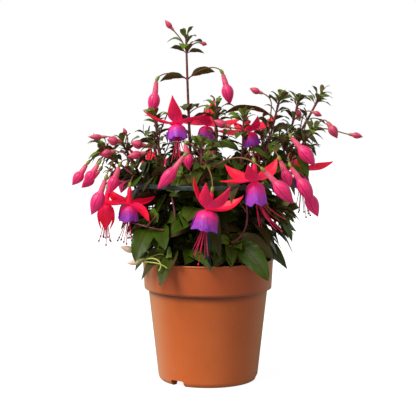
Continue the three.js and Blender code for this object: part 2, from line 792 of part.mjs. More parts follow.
// The tube is the first share of a bud's length, budTube.
function budRod(top, tip, radius) {
  const body = (s) => budTube + (1 - budTube) * s;
  const stops = [
    [0, tubeRadius * 0.7],
    [budTube * 0.5, tubeRadius],
    [budTube, tubeRadius],
    [body(0.3), radius * 0.95],
    [body(0.65), radius * 0.85],
    [1, 0],
  ];
  return rod(new THREE.LineCurve3(top, tip), stops, 6);
}

// A young bud and its stalk in one piece
function youngBudRod(stalk, base, tip, radius) {
  const whole = new THREE.CurvePath();
  whole.add(stalk);
  whole.add(new THREE.LineCurve3(base, tip));
  const stalkShare = stalk.getLength() / whole.getLength();
  const along = (s) => stalkShare + (1 - stalkShare) * s;
  const stops = [
    [0, 0],
    [0.12, pedicelRadius],
    [0.5 * stalkShare, pedicelRadius],
    [along(0), pedicelRadius * 1.3],
    [along(0.3), radius * 0.85],
    [along(0.6), radius * 0.9],
    [1, 0],
  ];
  return rod(whole, stops, 4);
}

// Blooms: every point is a radius and an azimuth about the tube and a distance down it
function bloomFrame(top, mouth) {
  const axis = mouth.clone().sub(top).normalize();
  const first = axis.clone().cross(new THREE.Vector3(0, 1, 0)).normalize();
  const second = first.clone().cross(axis);
  const place = (radius, azimuth, down) =>
    top.clone().addScaledVector(axis, down)
      .addScaledVector(first, radius * Math.cos(azimuth))
      .addScaledVector(second, radius * Math.sin(azimuth));
  return { axis, place };
}

// A spread sepal leaves the mouth low and curls up; one that still hangs bows out round the corolla.
function sepalBlade(frame, [azimuthDegrees, liftDegrees, twistDegrees], long = sepalLength) {
  const azimuth = degrees(azimuthDegrees);
  const spread = liftDegrees > hangingLift;
  const leaving = spread ? Math.max(liftDegrees - sepalCurl, -10) : liftDegrees + sepalCurl;
  const start = spread ? [1.2, tubeLength - 1.6] : [2.4, tubeLength - 2.5];
  const along = (length, angle) => [
    start[0] + length * Math.cos(degrees(angle)),
    start[1] - length * Math.sin(degrees(angle)),
  ];
  const middle = along(long / 2, leaving);
  const end = along(long, liftDegrees);
  const path = (u) => {
    const [a, b, c] = [(1 - u) ** 2, 2 * u * (1 - u), u ** 2];
    return frame.place(
      a * start[0] + b * middle[0] + c * end[0],
      azimuth,
      a * start[1] + b * middle[1] + c * end[1],
    );
  };
  const run = path(1).sub(path(0)).normalize();
  const side = frame.place(1, azimuth + Math.PI / 2, 0).sub(frame.place(0, 0, 0)).normalize();
  side.applyAxisAngle(run, degrees(twistDegrees));
  const halfWidth = (u) => (sepalWidth / 2) * Math.sin(Math.PI * (0.12 + 0.88 * u) ** 0.9);
  return { path, side, halfWidth };
}

// The style, which is the first, and the stamens hang from inside the tube, through the corolla.
function stamenRod(frame, index, length) {
  const spread = index === 0 ? 0 : 0.12;
  const azimuth = (2 * Math.PI * index) / stamenCount + 0.4;
  const reach = index === 0 ? length : length * (0.7 + 0.06 * index);
  const start = frame.place(0.35, azimuth, tubeLength - 3);
  const bow = frame.place(0.7, azimuth, tubeLength + 0.45 * reach);
  const end = frame.place(0.6 + spread * reach, azimuth, tubeLength + reach);
  const curve = new THREE.QuadraticBezierCurve3(start, bow, end);
  const anther = 1 - antherLength / curve.getLength();
  return rod(curve, [[0, 0], [0.25, 0.5], [anther, 0.5], [anther + 0.015, 1.2], [1, 0]], 3);
}

function buildCalyx(bloom, frame) {
  const tube = new THREE.LineCurve3(frame.place(0, 0, 0), frame.place(0, 0, tubeLength));
  const stops = [[0, tubeRadius * 0.7], [0.2, tubeRadius], [0.7, tubeRadius], [1, tubeRadius * 1.33]];
  const pieces = [rod(tube, stops, 6)];
  const form = { stations: [0, 0.35, 0.7, 1], thick: sepalHalfThick, fold: sepalFold };
  for (const placing of bloom.sepals) {
    pieces.push(blade({ ...sepalBlade(frame, placing, bloom.sepalLength), ...form }));
  }
  for (let i = 0; i <= stamenCount; i += 1) pieces.push(stamenRod(frame, i, bloom.style));
  return fuse(pieces);
}

// The corolla is a skirt of four overlapping petals, open below, with a small hole above for the stamens.
// Each ring is its radius, its share of the length, and how far its edge ruffles down and flutes out.
function buildCorolla(bloom, frame) {
  const [length, radius] = bloom.corolla;
  const profile = [
    [Math.min(2.2, radius * 0.4), 0, 0, 0],
    [Math.min(3.4, radius * 0.62), 0, 0, 0],
    [radius * 0.84, 0.3, 0, 0.3],
    [radius * 0.94, 0.62, 0, 0.8],
    [radius, 0.94, length * 0.05, 1],
    [radius * 0.86, 0.88, length * 0.05, 1],
    [radius * 0.62, 0.42, 0, 0.4],
  ];
  const points = profile.flatMap(([r, share, ruffle, flute]) =>
    Array.from({ length: corollaSides }, (_, i) => {
      const azimuth = (2 * Math.PI * (i + 0.5)) / corollaSides;
      const lobe = i % 2 === 0 ? 1 : -1;
      return frame.place(r + flute * lobe, azimuth, tubeLength + gap + length * share + ruffle * lobe);
    }),
  );
  const triangles = [];
  for (let k = 0; k < profile.length; k += 1) {
    const a = k * corollaSides;
    const b = ((k + 1) % profile.length) * corollaSides;
    for (let i = 0; i < corollaSides; i += 1) {
      const j = (i + 1) % corollaSides;
      triangles.push([a + i, a + j, b + j], [a + i, b + j, b + i]);
    }
  }
  return toSolid(closedGeometry(points, triangles));
}

// What stands before the leaves grow
function markBud(name, top, tip, radius) {
  mark(name, [0.15, 0.35, 0.55, 0.75, 0.95].map((s) => top.clone().lerp(tip, s)), radius * 0.9);
}

function markBloom(bloom, frame) {
  const name = bloom.name;
  mark(name, [0.3, 0.9].map((s) => frame.place(0, 0, s * tubeLength)), tubeRadius + 0.8);
  for (const placing of bloom.sepals) {
    const sepal = sepalBlade(frame, placing, bloom.sepalLength);
    for (const u of [0.2, 0.4, 0.6, 0.8, 1]) {
      const across = u < 1 ? [-0.6, 0, 0.6] : [0];
      mark(name, across.map((v) => sepal.path(u).addScaledVector(sepal.side, v * sepal.halfWidth(u))), 2.4);
    }
  }
  const [length, radius] = bloom.corolla;
  mark(name, [0.35, 0.75].map((s) => frame.place(0, 0, tubeLength + s * length)), radius * 0.95);
  const hanging = [0.5, 0.7, 0.9, 1].map((s) => frame.place(0, 0, tubeLength + s * bloom.style));
  mark(name, hanging, 4);
}

function markCurve(name, curve, radius) {
  mark(name, curve.getSpacedPoints(Math.max(2, Math.ceil(curve.getLength() / 4))), radius);
}

function markSupport() {
  const shares = Array.from({ length: 97 }, (_, i) => i / 96);
  const around = (r, angle, z) => new THREE.Vector3(r * Math.cos(angle), r * Math.sin(angle), z);
  mark("support_ring", shares.map((s) => around(ringRadius, 2 * Math.PI * s, ringHeight)), ringBand / 2);
  for (const angle of legAngles.map(degrees)) {
    const foot = around(legFootRadius, angle, soilEdge);
    const head = around(ringRadius, angle, ringHeight);
    mark("support_ring", shares.map((s) => foot.clone().lerp(head, s)), legWidth / 2 + 0.5);
  }
}

// The whole plant: every node's solid by name
const solids = new Map();
const add = (name, slot, solid) => solids.set(name, { slot, solid });

shoots.forEach(growStem);
for (const plant of grown.values()) {
  plant.pieces.push(stemSolid(plant));
  markCurve(plant.shoot.name, plant.curve, plant.shoot.radius + stemClearance);
}
markSupport();

for (const [name, bearer, share, from, to, radius] of buds) {
  const [top, tip] = [point(from), point(to)];
  const plant = grown.get(bearer);
  const stalk = stalkCurve(plant, share, top, tip.clone().sub(top).normalize());
  plant.pieces.push(stalkRod(stalk));
  add(name, "bud", budRod(top, tip, radius));
  markCurve(bearer, stalk, pedicelRadius + stemClearance);
  markBud(name, top, tip, radius);
}

for (const bloom of blooms) {
  const frame = bloomFrame(point(bloom.top), point(bloom.mouth));
  const [bearer, share] = bloom.on;
  const plant = grown.get(bearer);
  const stalk = stalkCurve(plant, share, point(bloom.top), frame.axis);
  plant.pieces.push(stalkRod(stalk));
  add(`${bloom.name}_calyx`, "calyx", buildCalyx(bloom, frame));
  add(`${bloom.name}_corolla`, "corolla", buildCorolla(bloom, frame));
  markCurve(bearer, stalk, pedicelRadius + stemClearance);
  markBloom(bloom, frame);
}

for (const [bearer, share, from, to, radius] of youngBuds) {
  const plant = grown.get(bearer);
  const [base, tip] = [point(from), point(to)];
  const stalk = stalkCurve(plant, share, base, tip.clone().sub(base).normalize());
  plant.pieces.push(youngBudRod(stalk, base, tip, radius));
  markCurve(bearer, stalk, pedicelRadius + stemClearance);
  markBud(bearer, base, tip, radius);
}

add("pot", "terracotta", buildPot());
add("support_ring", "support", buildSupport());

// A leaf whose solid would still touch another node is left out.
const standing = [];
const stand = (owner, solid) => standing.push({ owner, solid, box: solid.boundingBox() });
for (const [name, { solid }] of solids) stand(name, solid);
for (const plant of grown.values()) plant.pieces.forEach((solid) => stand(plant.shoot.name, solid));

function touchesOther(owner, solid) {
  const box = solid.boundingBox();
  const below = (a, b) => a.every((v, i) => v <= b[i] + gap);
  return standing.some((other) =>
    other.owner !== owner && below(other.box.min, box.max) && below(box.min, other.box.max)
      && other.solid.minGap(solid, gap) < 0.7 * gap);
}

[...grown.values()].forEach((plant, index) => {
  const owner = plant.shoot.name;
  for (const leaf of growLeaves(index, plant)) {
    const solid = leafSolid(leaf);
    if (touchesOther(owner, solid)) continue;
    plant.pieces.push(solid);
    stand(owner, solid);
  }
});

for (const plant of grown.values()) add(plant.shoot.name, "foliage", fuse(plant.pieces));

// Soil fills the pot, with a plain hole for each cane and each leg of the support.
function buildSoil() {
  const stepHeight = potHeight - bandHeight;
  const inset = wall + 1.4 * gap;
  const profile = [
    [0, floorTop + gap],
    [footRadius - wall - gap, floorTop + gap],
    [heelRadius - inset, floorTop + 3.5],
    [potOuterRadius(stepHeight) - inset, stepHeight + 1.2],
    [rimRadius - bandTaper - inset, stepHeight + 4.5],
    [rimRadius - 1 - inset, soilEdge],
    [rimRadius - 12, soilCrown - 1],
    [0, soilCrown],
  ].map(([r, z]) => new THREE.Vector2(r, z));
  let soil = toSolid(new THREE.LatheGeometry(profile, potSides).rotateX(Math.PI / 2));
  for (const { parent, curve, radiusAt } of grown.values()) {
    if (parent) continue;
    const shares = Array.from({ length: 60 }, (_, k) => k / 100);
    const leave = curve.getPointAt(shares.find((t) => curve.getPointAt(t).z > soilCrown + 3));
    const start = curve.getPointAt(0);
    const below = start.clone().add(start.clone().sub(leave).setLength(1));
    const hole = new THREE.LineCurve3(below, leave);
    const bore = (radiusAt(0) + 3 * gap) / Math.cos(Math.PI / 6);
    soil = soil.subtract(rod(hole, [[0, bore], [1, bore]], 6));
  }
  for (const angle of legAngles) {
    soil = soil.subtract(legSolid(degrees(angle), 2 * gap));
  }
  return soil;
}

add("soil", "soil", buildSoil());

const fuchsia = new THREE.Group();
for (const [name, { slot, solid }] of solids) {
  const mesh = new THREE.Mesh(toGeometry(solid), new THREE.MeshStandardMaterial(colours[slot]));
  mesh.name = name;
  fuchsia.add(mesh);
}

export default fuchsia;
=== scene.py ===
# A bush fuchsia in flower in a terracotta-coloured pot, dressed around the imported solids.
# Sizes and places of the plant, pot and support are in millimetres, and turn to metres as a mesh is made.
import math

import bpy
import numpy as np
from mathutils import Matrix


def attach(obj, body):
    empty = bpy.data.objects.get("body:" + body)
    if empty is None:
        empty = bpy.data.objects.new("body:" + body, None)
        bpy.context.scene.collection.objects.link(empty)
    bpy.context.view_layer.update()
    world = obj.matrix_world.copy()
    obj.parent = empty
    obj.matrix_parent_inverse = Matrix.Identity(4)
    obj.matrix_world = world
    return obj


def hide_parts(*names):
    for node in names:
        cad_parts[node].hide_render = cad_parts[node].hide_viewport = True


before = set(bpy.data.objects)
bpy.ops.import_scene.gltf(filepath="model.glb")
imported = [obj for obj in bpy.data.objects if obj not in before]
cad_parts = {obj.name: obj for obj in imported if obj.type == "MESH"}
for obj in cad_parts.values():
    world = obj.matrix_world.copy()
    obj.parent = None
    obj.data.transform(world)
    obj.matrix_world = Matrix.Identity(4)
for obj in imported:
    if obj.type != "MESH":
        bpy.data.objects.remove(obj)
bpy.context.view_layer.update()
mm = 0.001
up = np.array([0.0, 0.0, 1.0])
print("frame loaded:", len(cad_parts), "nodes")

# Camera, at the photograph's viewing angle
cameraView = {
    "distance": 1.6, "height": 0.3555, "tiltDown": 5.6, "focalPixels": 1400, "framePixels": 416,
    "sensorWidth": 36, "farthest": 20,
}
cameraData = bpy.data.cameras.new("camera")
cameraData.sensor_width = cameraView["sensorWidth"]
cameraData.lens = cameraView["focalPixels"] / cameraView["framePixels"] * cameraView["sensorWidth"]
cameraData.clip_end = cameraView["farthest"]
camera = bpy.data.objects.new("camera", cameraData)
camera.location = (0, -cameraView["distance"], cameraView["height"])
camera.rotation_euler = (math.radians(90 - cameraView["tiltDown"]), 0, 0)
bpy.context.scene.collection.objects.link(camera)
bpy.context.scene.camera = camera


# Vectors and chance
def norm(a):  # |a|
    return np.linalg.norm(a, axis=-1, keepdims=True)


def unit(a):  # a / |a|
    return a / np.maximum(norm(a), 1e-9)


def square(a, run):  # the part of a that is square to the run, at length 1: a - run (a.run)
    return unit(a - run * (a * run).sum(-1, keepdims=True))


def polar(radius, angle, z):  # (r cos f, r sin f, z)
    return np.stack(np.broadcast_arrays(radius * np.cos(angle), radius * np.sin(angle), z), -1)


def turned(v, axis, angle):  # v cos a + (k x v) sin a + k (k.v)(1 - cos a)
    c, s = np.cos(angle), np.sin(angle)
    return v * c + np.cross(axis, v) * s + axis * (v * axis).sum(-1, keepdims=True) * (1 - c)


def chance(*keys):  # 0 to 1 by hashing whole numbers, so that the plant grows the same each time
    h = 2166136261
    for key in keys:
        h = (h ^ key) * 16777619 & 0xFFFFFFFF
        h ^= h >> 13
        h = h * 0x5BD1E995 & 0xFFFFFFFF
        h ^= h >> 15
    return h / 4294967296


def smooth(x, low, high):  # 3 t^2 - 2 t^3, with t from 0 at low to 1 at high
    t = np.clip((x - low) / (high - low), 0, 1)
    return t * t * (3 - 2 * t)


# Curves: control points with a table of length against parameter
curveSteps = np.linspace(0, 1, 201)


def bezier(controls, t):  # sum over k of C(n, k) t^k (1 - t)^(n - k) P_k
    n = len(controls) - 1
    weights = [math.comb(n, k) * t**k * (1 - t) ** (n - k) for k in range(n + 1)]
    return np.stack(weights, -1) @ np.asarray(controls, float)


def makeCurve(*controls):  # lengths hold the sum of the chords up to each step
    hops = np.linalg.norm(np.diff(bezier(controls, curveSteps), axis=0), axis=1)
    return {"controls": controls, "lengths": np.concatenate([[0], np.cumsum(hops)])}


def parameter(curve, share):  # the t at which that share of the length is passed
    return np.interp(np.asarray(share) * curve["lengths"][-1], curve["lengths"], curveSteps)


def along(curve, share):  # the point at a share of the length
    return bezier(curve["controls"], parameter(curve, share))


def heading(curve, share):  # P(t + e) - P(t - e), at length 1
    t = parameter(curve, share)
    return unit(bezier(curve["controls"], t + 1e-4) - bezier(curve["controls"], t - 1e-4))


# Surfaces: each shape returns a batch of points and faces, with place = (u, v, tone) and age for its material
def gridFaces(count, rows, cols, closed):  # quads (i, j), (i, j + 1), (i + 1, j + 1), (i + 1, j)
    i, j = np.meshgrid(np.arange(rows - 1), np.arange(cols if closed else cols - 1), indexing="ij")
    a, b = i * cols + j, i * cols + (j + 1) % cols
    quads = np.stack([a, b, b + cols, a + cols], -1).reshape(-1, 4)
    return (quads + (np.arange(count) * rows * cols)[:, None, None]).reshape(-1, 4)


def capFaces(pole, first, last):  # fans from the two poles over the first and the last ring
    start = np.stack([pole, np.roll(first, -1, axis=-1), first], -1)
    end = np.stack([pole + 1, last, np.roll(last, -1, axis=-1)], -1)
    return [start.reshape(-1, 3), end.reshape(-1, 3)]


def sweep(centres, across, wide, thick, look, sides=8, power=1.0, tone=0.5, age=0.5):
    # c + a wide C + o thick S, with C = sgn(cos f)|cos f|^power and S likewise from sin f, o = run x a
    count, rows = centres.shape[:2]
    run = unit(np.gradient(centres, axis=1))
    across = square(across, run)[:, :, None]
    over = np.cross(run[:, :, None], across)
    angle = 2 * np.pi * np.arange(sides) / sides
    c, s = (np.sign(w) * np.abs(w) ** power for w in (np.cos(angle), np.sin(angle)))
    wide, thick = (np.broadcast_to(w, (count, rows, sides))[..., None] for w in (wide, thick))
    rings = centres[:, :, None] + across * wide * c[:, None] + over * thick * s[:, None]
    first = (np.arange(count) * rows * sides)[:, None] + np.arange(sides)
    pole = count * rows * sides + 2 * np.arange(count)[:, None] + np.zeros(sides, int)
    u = np.broadcast_to(np.linspace(0, 1, rows)[:, None], (count, rows, sides))
    v = np.broadcast_to(np.abs(np.mod(angle / np.pi + 1, 2) - 1), (count, rows, sides))
    tones = np.broadcast_to(np.reshape(tone, (-1, 1, 1)), (count, rows, sides))
    place = np.stack([u, v, tones], -1).reshape(-1, 3)
    polePlace = np.stack([np.tile([0, 1], count), np.zeros(2 * count), np.repeat(tones[:, 0, 0], 2)], -1)
    ages = np.broadcast_to(np.reshape(age, (-1, 1)), (count, 1))[:, 0]
    return {
        "look": look,
        "points": np.concatenate([rings.reshape(-1, 3), centres[:, [0, -1]].reshape(-1, 3)]),
        "faces": [gridFaces(count, rows, sides, True), *capFaces(pole, first, first + (rows - 1) * sides)],
        "place": np.concatenate([place, polePlace]),
        "age": np.concatenate([np.repeat(ages, rows * sides), np.repeat(ages, 2)]),
    }


def tubes(centres, radii, look, sides=8, tone=0.5, age=0.5):
    # a round sweep whose across direction is the normal of the plane that each path bends in
    chord = centres[:, -1] - centres[:, 0]
    normal = np.cross(centres[:, centres.shape[1] // 2] - centres[:, 0], chord)
    straight = norm(normal) < 1e-3 * norm(chord) ** 2
    spare = np.cross(chord, np.where(np.abs(unit(chord)[:, 2:]) > 0.9, [1.0, 0, 0], [0, 0, 1.0]))
    normal = unit(np.where(straight, spare, normal))[:, None]
    radii = np.asarray(radii, float)
    radii = radii if radii.ndim == 3 else radii[..., None]
    return sweep(centres, normal, radii, radii, look, sides, 1.0, tone, age)


def blades(grid, thick, look, underLook, tone, age=0.5):
    # the middle surface m(u, v), and both faces m + n t/2 and m - n t/2, which meet along the rim
    count, rows, cols = grid.shape[:3]
    normal = unit(np.cross(np.gradient(grid, axis=1), np.gradient(grid, axis=2)))
    inside = np.zeros((rows, cols), bool)
    inside[1:-1, 1:-1] = True
    rise = normal * (inside[..., None] * thick / 2)
    topCount = count * rows * cols
    lower = np.arange(topCount).reshape(count, rows, cols)
    lower[:, inside] = topCount + np.arange(count * inside.sum()).reshape(count, -1)
    quads = gridFaces(count, rows, cols, False)
    # both faces are cut along the same diagonals
    halves = np.concatenate([quads[:, [0, 1, 2]], quads[:, [0, 2, 3]]])
    u = np.broadcast_to(np.linspace(0, 1, rows)[:, None], (count, rows, cols))
    v = np.broadcast_to(np.linspace(-1, 1, cols), (count, rows, cols))
    tones, ages = (np.broadcast_to(np.reshape(w, (-1, 1, 1)), (count, rows, cols)) for w in (tone, age))
    place = np.stack([u, v, tones], -1)
    return {
        "look": look,
        "points": np.concatenate([(grid + rise).reshape(-1, 3), (grid - rise)[:, inside].reshape(-1, 3)]),
        "faces": [halves[:, ::-1]],
        "underFaces": [lower.reshape(-1)[halves]],
        "underLook": underLook,
        "place": np.concatenate([place.reshape(-1, 3), place[:, inside].reshape(-1, 3)]),
        "age": np.concatenate([ages.reshape(-1), ages[:, inside].reshape(-1)]),
    }


looks = {}  # every material by name
sharpAngle = 80  # degrees between two faces from which their edge stays crisp


def addPiece(name, batches, slot, *nodes):
    # joins batches into one mesh in metres, whose faces take the materials that the batches name
    def joined(key, scale=1):
        return (np.concatenate([batch[key] for batch in batches]) * scale).astype(np.float32).ravel()

    used = sorted({batch[key] for batch in batches for key in ("look", "underLook") if key in batch})
    corners, sizes, materialIndex = [], [], []
    offset = 0
    for batch in batches:
        for key, lookKey in (("faces", "look"), ("underFaces", "underLook")):
            for faces in batch.get(key, []):
                corners.append((faces + offset).ravel())
                sizes.append(np.full(len(faces), faces.shape[1]))
                materialIndex.append(np.full(len(faces), used.index(batch[lookKey])))
        offset += len(batch["points"])
    sizes = np.concatenate(sizes)
    mesh = bpy.data.meshes.new(name)
    mesh.vertices.add(offset)
    mesh.vertices.foreach_set("co", joined("points", mm))
    mesh.loops.add(int(sizes.sum()))
    mesh.loops.foreach_set("vertex_index", np.concatenate(corners).astype(np.int32))
    mesh.polygons.add(len(sizes))
    mesh.polygons.foreach_set("loop_start", (np.cumsum(sizes) - sizes).astype(np.int32))
    mesh.polygons.foreach_set("material_index", np.concatenate(materialIndex).astype(np.int32))
    mesh.polygons.foreach_set("use_smooth", np.ones(len(sizes), bool))
    mesh.attributes.new("place", "FLOAT_VECTOR", "POINT").data.foreach_set("vector", joined("place"))
    mesh.attributes.new("age", "FLOAT", "POINT").data.foreach_set("value", joined("age"))
    mesh.update(calc_edges=True)
    mesh.set_sharp_from_angle(angle=math.radians(sharpAngle))
    for look in used:
        mesh.materials.append(looks[look])
    piece = bpy.data.objects.new(name, mesh)
    bpy.context.scene.collection.objects.link(piece)
    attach(piece, "root")
    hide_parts(*nodes)
    return piece


# Shader nodes: each function adds its nodes to a tree and returns what comes out
def srgb(red, green, blue):  # screen colour from 0 to 255 to linear light: ((c + 0.055) / 1.055)^2.4
    c = np.array([red, green, blue]) / 255
    return (*np.where(c > 0.04045, ((c + 0.055) / 1.055) ** 2.4, c / 12.92).tolist(), 1)


def feed(tree, socket, value):  # a link from another socket, or a plain value
    if isinstance(value, bpy.types.NodeSocket):
        tree.links.new(value, socket)
    else:
        socket.default_value = value


def addNode(tree, kind, inputs=(), **settings):  # the outputs of a new node, with its inputs fed
    node = tree.nodes.new(kind)
    for key, value in settings.items():
        setattr(node, key, value)
    for key, value in dict(inputs).items():
        feed(tree, node.inputs[key], value)
    return node.outputs


def maths(tree, operation, a, b=0.0):
    return addNode(tree, "ShaderNodeMath", {0: a, 1: b}, operation=operation)[0]


def times(tree, a, b):  # a b
    return maths(tree, "MULTIPLY", a, b)


def linear(tree, x, slope, start):  # slope x + start
    return maths(tree, "ADD", times(tree, x, slope), start)


def offMiddle(tree, x):  # |fract(x) - 1/2|, which is 1/2 where x is whole
    return maths(tree, "ABSOLUTE", maths(tree, "SUBTRACT", maths(tree, "FRACT", x), 0.5))


def ramped(tree, value, low, high, start=0.0, end=1.0):  # a smooth step from start at low to end at high
    inputs = {"Value": value, "From Min": low, "From Max": high, "To Min": start, "To Max": end}
    return addNode(tree, "ShaderNodeMapRange", inputs, interpolation_type="SMOOTHSTEP")[0]


def mixed(tree, share, first, second):  # first (1 - share) + second share
    return addNode(tree, "ShaderNodeMix", {0: share, 6: first, 7: second}, data_type="RGBA")[2]


# Node groups
def newGroup(name, inputs, outputs):  # an input with no value is a vector
    tree = bpy.data.node_groups.new(name, "ShaderNodeTree")
    for socket, value in inputs:
        kind = "NodeSocketVector" if value is None else "NodeSocketFloat"
        made = tree.interface.new_socket(name=socket, in_out="INPUT", socket_type=kind)
        if value is not None:
            made.default_value = value
    for socket in outputs:
        tree.interface.new_socket(name=socket, in_out="OUTPUT", socket_type="NodeSocketFloat")
    return tree, tree.nodes.new("NodeGroupInput").outputs, tree.nodes.new("NodeGroupOutput").inputs


def makeVeins():
    # side veins where u N - |v| slant is whole, and a midrib where v is near 0
    inputs = [("Place", None), ("Count", 7), ("Slant", 1.5), ("Fine", 0.86)]
    tree, given, result = newGroup("veins", inputs, ["Veins", "Midrib"])
    split = addNode(tree, "ShaderNodeSeparateXYZ", {0: given["Place"]})
    beside = maths(tree, "ABSOLUTE", split[1])
    slanted = times(tree, beside, given["Slant"])
    phase = maths(tree, "SUBTRACT", times(tree, split[0], given["Count"]), slanted)
    feed(tree, result["Veins"], ramped(tree, times(tree, offMiddle(tree, phase), 2), given["Fine"], 1.0))
    feed(tree, result["Midrib"], ramped(tree, beside, 0.015, 0.08, 1, 0))
    return tree


def makeMottle():
    # High smooth(noise), with noise from 0.3 to 0.7 spread over 0 to 1
    tree, given, result = newGroup("mottle", [("Scale", 60), ("Detail", 3), ("High", 1)], ["Value"])
    where = addNode(tree, "ShaderNodeTexCoord")["Object"]
    inputs = {"Vector": where, "Scale": given["Scale"], "Detail": given["Detail"]}
    spread = ramped(tree, addNode(tree, "ShaderNodeTexNoise", inputs)["Fac"], 0.3, 0.7)
    feed(tree, result["Value"], times(tree, spread, given["High"]))
    return tree


veinsGroup = makeVeins()
mottleGroup = makeMottle()


def mottled(tree, scale, detail, high=1):  # noise at a scale, from 0 to high
    inputs = {"Scale": scale, "Detail": detail, "High": high}
    return addNode(tree, "ShaderNodeGroup", inputs, node_tree=mottleGroup)["Value"]


# Materials
def newMaterial(name, **values):  # its tree, and the shader's inputs with some of them set
    material = bpy.data.materials.new(name)
    material.use_nodes = True
    shader = material.node_tree.nodes["Principled BSDF"].inputs
    for key, value in values.items():
        shader[key.replace("_", " ")].default_value = value
    looks[name] = material
    return material.node_tree, shader


def attributes(tree):
    # u along the piece, v across it, the piece's own tone, and its age
    place = addNode(tree, "ShaderNodeAttribute", attribute_name="place")["Vector"]
    u, v, tone = addNode(tree, "ShaderNodeSeparateXYZ", {0: place})
    age = addNode(tree, "ShaderNodeAttribute", attribute_name="age")["Fac"]
    return {"place": place, "u": u, "v": v, "tone": tone, "age": age}


def finishLook(tree, shader, colour, rough, height, strength, distance):
    # the colour, the roughness, and a bump by a height from 0 to 1 over a distance in metres
    feed(tree, shader["Base Color"], colour)
    feed(tree, shader["Roughness"], rough)
    inputs = {"Height": height, "Strength": strength, "Distance": distance}
    feed(tree, shader["Normal"], addNode(tree, "ShaderNodeBump", inputs)[0])


def makeLeafLook(name, colours, rough, coat):
    # dark to light by the leaf's tone, which holds painted shade inside the bush, young colour by its age,
    # and a bronze flush on some leaves
    mature, young, bronze, veinColour, ribColour = (srgb(*colour) for colour in colours)
    tree, shader = newMaterial(name, Specular_IOR_Level=0.1, Coat_Weight=coat, Coat_Roughness=0.25)
    given = attributes(tree)
    veins = addNode(tree, "ShaderNodeGroup", {"Place": given["place"]}, node_tree=veinsGroup)
    patches = mottled(tree, 90, 3, 0.5)
    dark, light = ([min(share * c, 1) for c in mature[:3]] + [1] for share in (0.6, 1.7))
    shade = mixed(tree, linear(tree, given["tone"], 0.6, patches), dark, light)
    flush = ramped(tree, maths(tree, "FRACT", times(tree, given["tone"], 7.3)), 0.5, 0.9, 0, 0.7)
    flush = times(tree, flush, maths(tree, "ADD", patches, 0.5))
    colour = mixed(tree, flush, mixed(tree, given["age"], shade, young), bronze)
    colour = mixed(tree, times(tree, veins["Veins"], 0.3), colour, veinColour)
    rib = maths(tree, "MAXIMUM", times(tree, veins["Midrib"], 0.7), ramped(tree, given["u"], 0.2, 0.12))
    colour = mixed(tree, rib, colour, ribColour)
    ridges = maths(tree, "MAXIMUM", veins["Veins"], veins["Midrib"])
    relief = maths(tree, "SUBTRACT", times(tree, patches, 0.4), ridges)
    finishLook(tree, shader, colour, linear(tree, patches, 0.2, rough), relief, 0.5, 0.0005)


def makeFlowerLook(name, colours, veinCount, veinShare, rough, change=(0.08, 0.62), seamShare=0.0, glow=0.05):
    # near colour at u = 0, far colour at u = 1, with fine lengthwise veins, and seams where 2v is whole
    near, far, veinColour = (srgb(*colour) for colour in colours)
    tree, shader = newMaterial(name, Specular_IOR_Level=0.4)
    given = attributes(tree)
    u, v = given["u"], given["v"]
    patches = mottled(tree, 160, 2)
    wander = maths(tree, "ADD", times(tree, v, veinCount), times(tree, patches, 0.7))
    lines = ramped(tree, offMiddle(tree, wander), 0.3, 0.5)
    lines = times(tree, lines, ramped(tree, u, 0.95, 0.1, 0.25, 1.0))
    if seamShare:
        seam = ramped(tree, offMiddle(tree, times(tree, v, 2.0)), 0.4, 0.49)
        seam = times(tree, seam, ramped(tree, u, 0.25, 0.45))
        lines = maths(tree, "MAXIMUM", lines, times(tree, seam, seamShare / veinShare))
    colour = mixed(tree, ramped(tree, u, *change), near, far)
    colour = mixed(tree, times(tree, lines, veinShare), colour, veinColour)
    bright = linear(tree, patches, 0.18, linear(tree, given["tone"], 0.26, 0.84))
    colour = addNode(tree, "ShaderNodeVectorMath", {0: colour, "Scale": bright}, operation="SCALE")[0]
    feed(tree, shader["Emission Color"], colour)  # painted glow: emission stands in for light coming through thin petals and lifts their shade
    feed(tree, shader["Emission Strength"], glow)
    relief = maths(tree, "ADD", lines, patches)
    finishLook(tree, shader, colour, linear(tree, patches, 0.15, rough), relief, 0.35, 0.0003)


def makePotLook():
    # moulded plastic with a faint grain, a few scuffs, a painted shadow under the band, painted shade on the
    # band, and a painted sheen where it turns away
    tree, shader = newMaterial("potPlastic", Specular_IOR_Level=0.6)
    cloudy, grain = mottled(tree, 14, 4), mottled(tree, 900, 2)
    scuffs = ramped(tree, mottled(tree, 75, 8), 0.97, 1.0)
    clay = mixed(tree, cloudy, srgb(222, 106, 42), srgb(230, 116, 50))
    clay = mixed(tree, times(tree, grain, 0.12), clay, srgb(160, 78, 38))
    clay = mixed(tree, times(tree, scuffs, 0.12), clay, srgb(214, 150, 116))
    z = addNode(tree, "ShaderNodeSeparateXYZ", {0: addNode(tree, "ShaderNodeTexCoord")["Object"]})[2]
    # painted shadow: a dark stripe in the clay just under the band's overhang
    paintedShadowUnderBand = times(tree, ramped(tree, z, 0.097, 0.1055), ramped(tree, z, 0.1095, 0.1075))
    clay = mixed(tree, times(tree, paintedShadowUnderBand, linear(tree, cloudy, 0.2, 0.6)), clay, srgb(96, 38, 18))
    clay = mixed(tree, ramped(tree, z, 0.106, 0.11, 0, 0.6), clay, srgb(196, 82, 32))  # painted shade on the band, under the foliage
    # painted sheen: the clay turns paler where the surface turns away from view
    rim = addNode(tree, "ShaderNodeLayerWeight", {"Blend": 0.4})["Facing"]
    clay = mixed(tree, ramped(tree, rim, 0.16, 0.8, 0, 0.72), clay, srgb(242, 178, 128))
    finishLook(tree, shader, clay, linear(tree, cloudy, 0.12, 0.38), grain, 0.12, 0.0002)


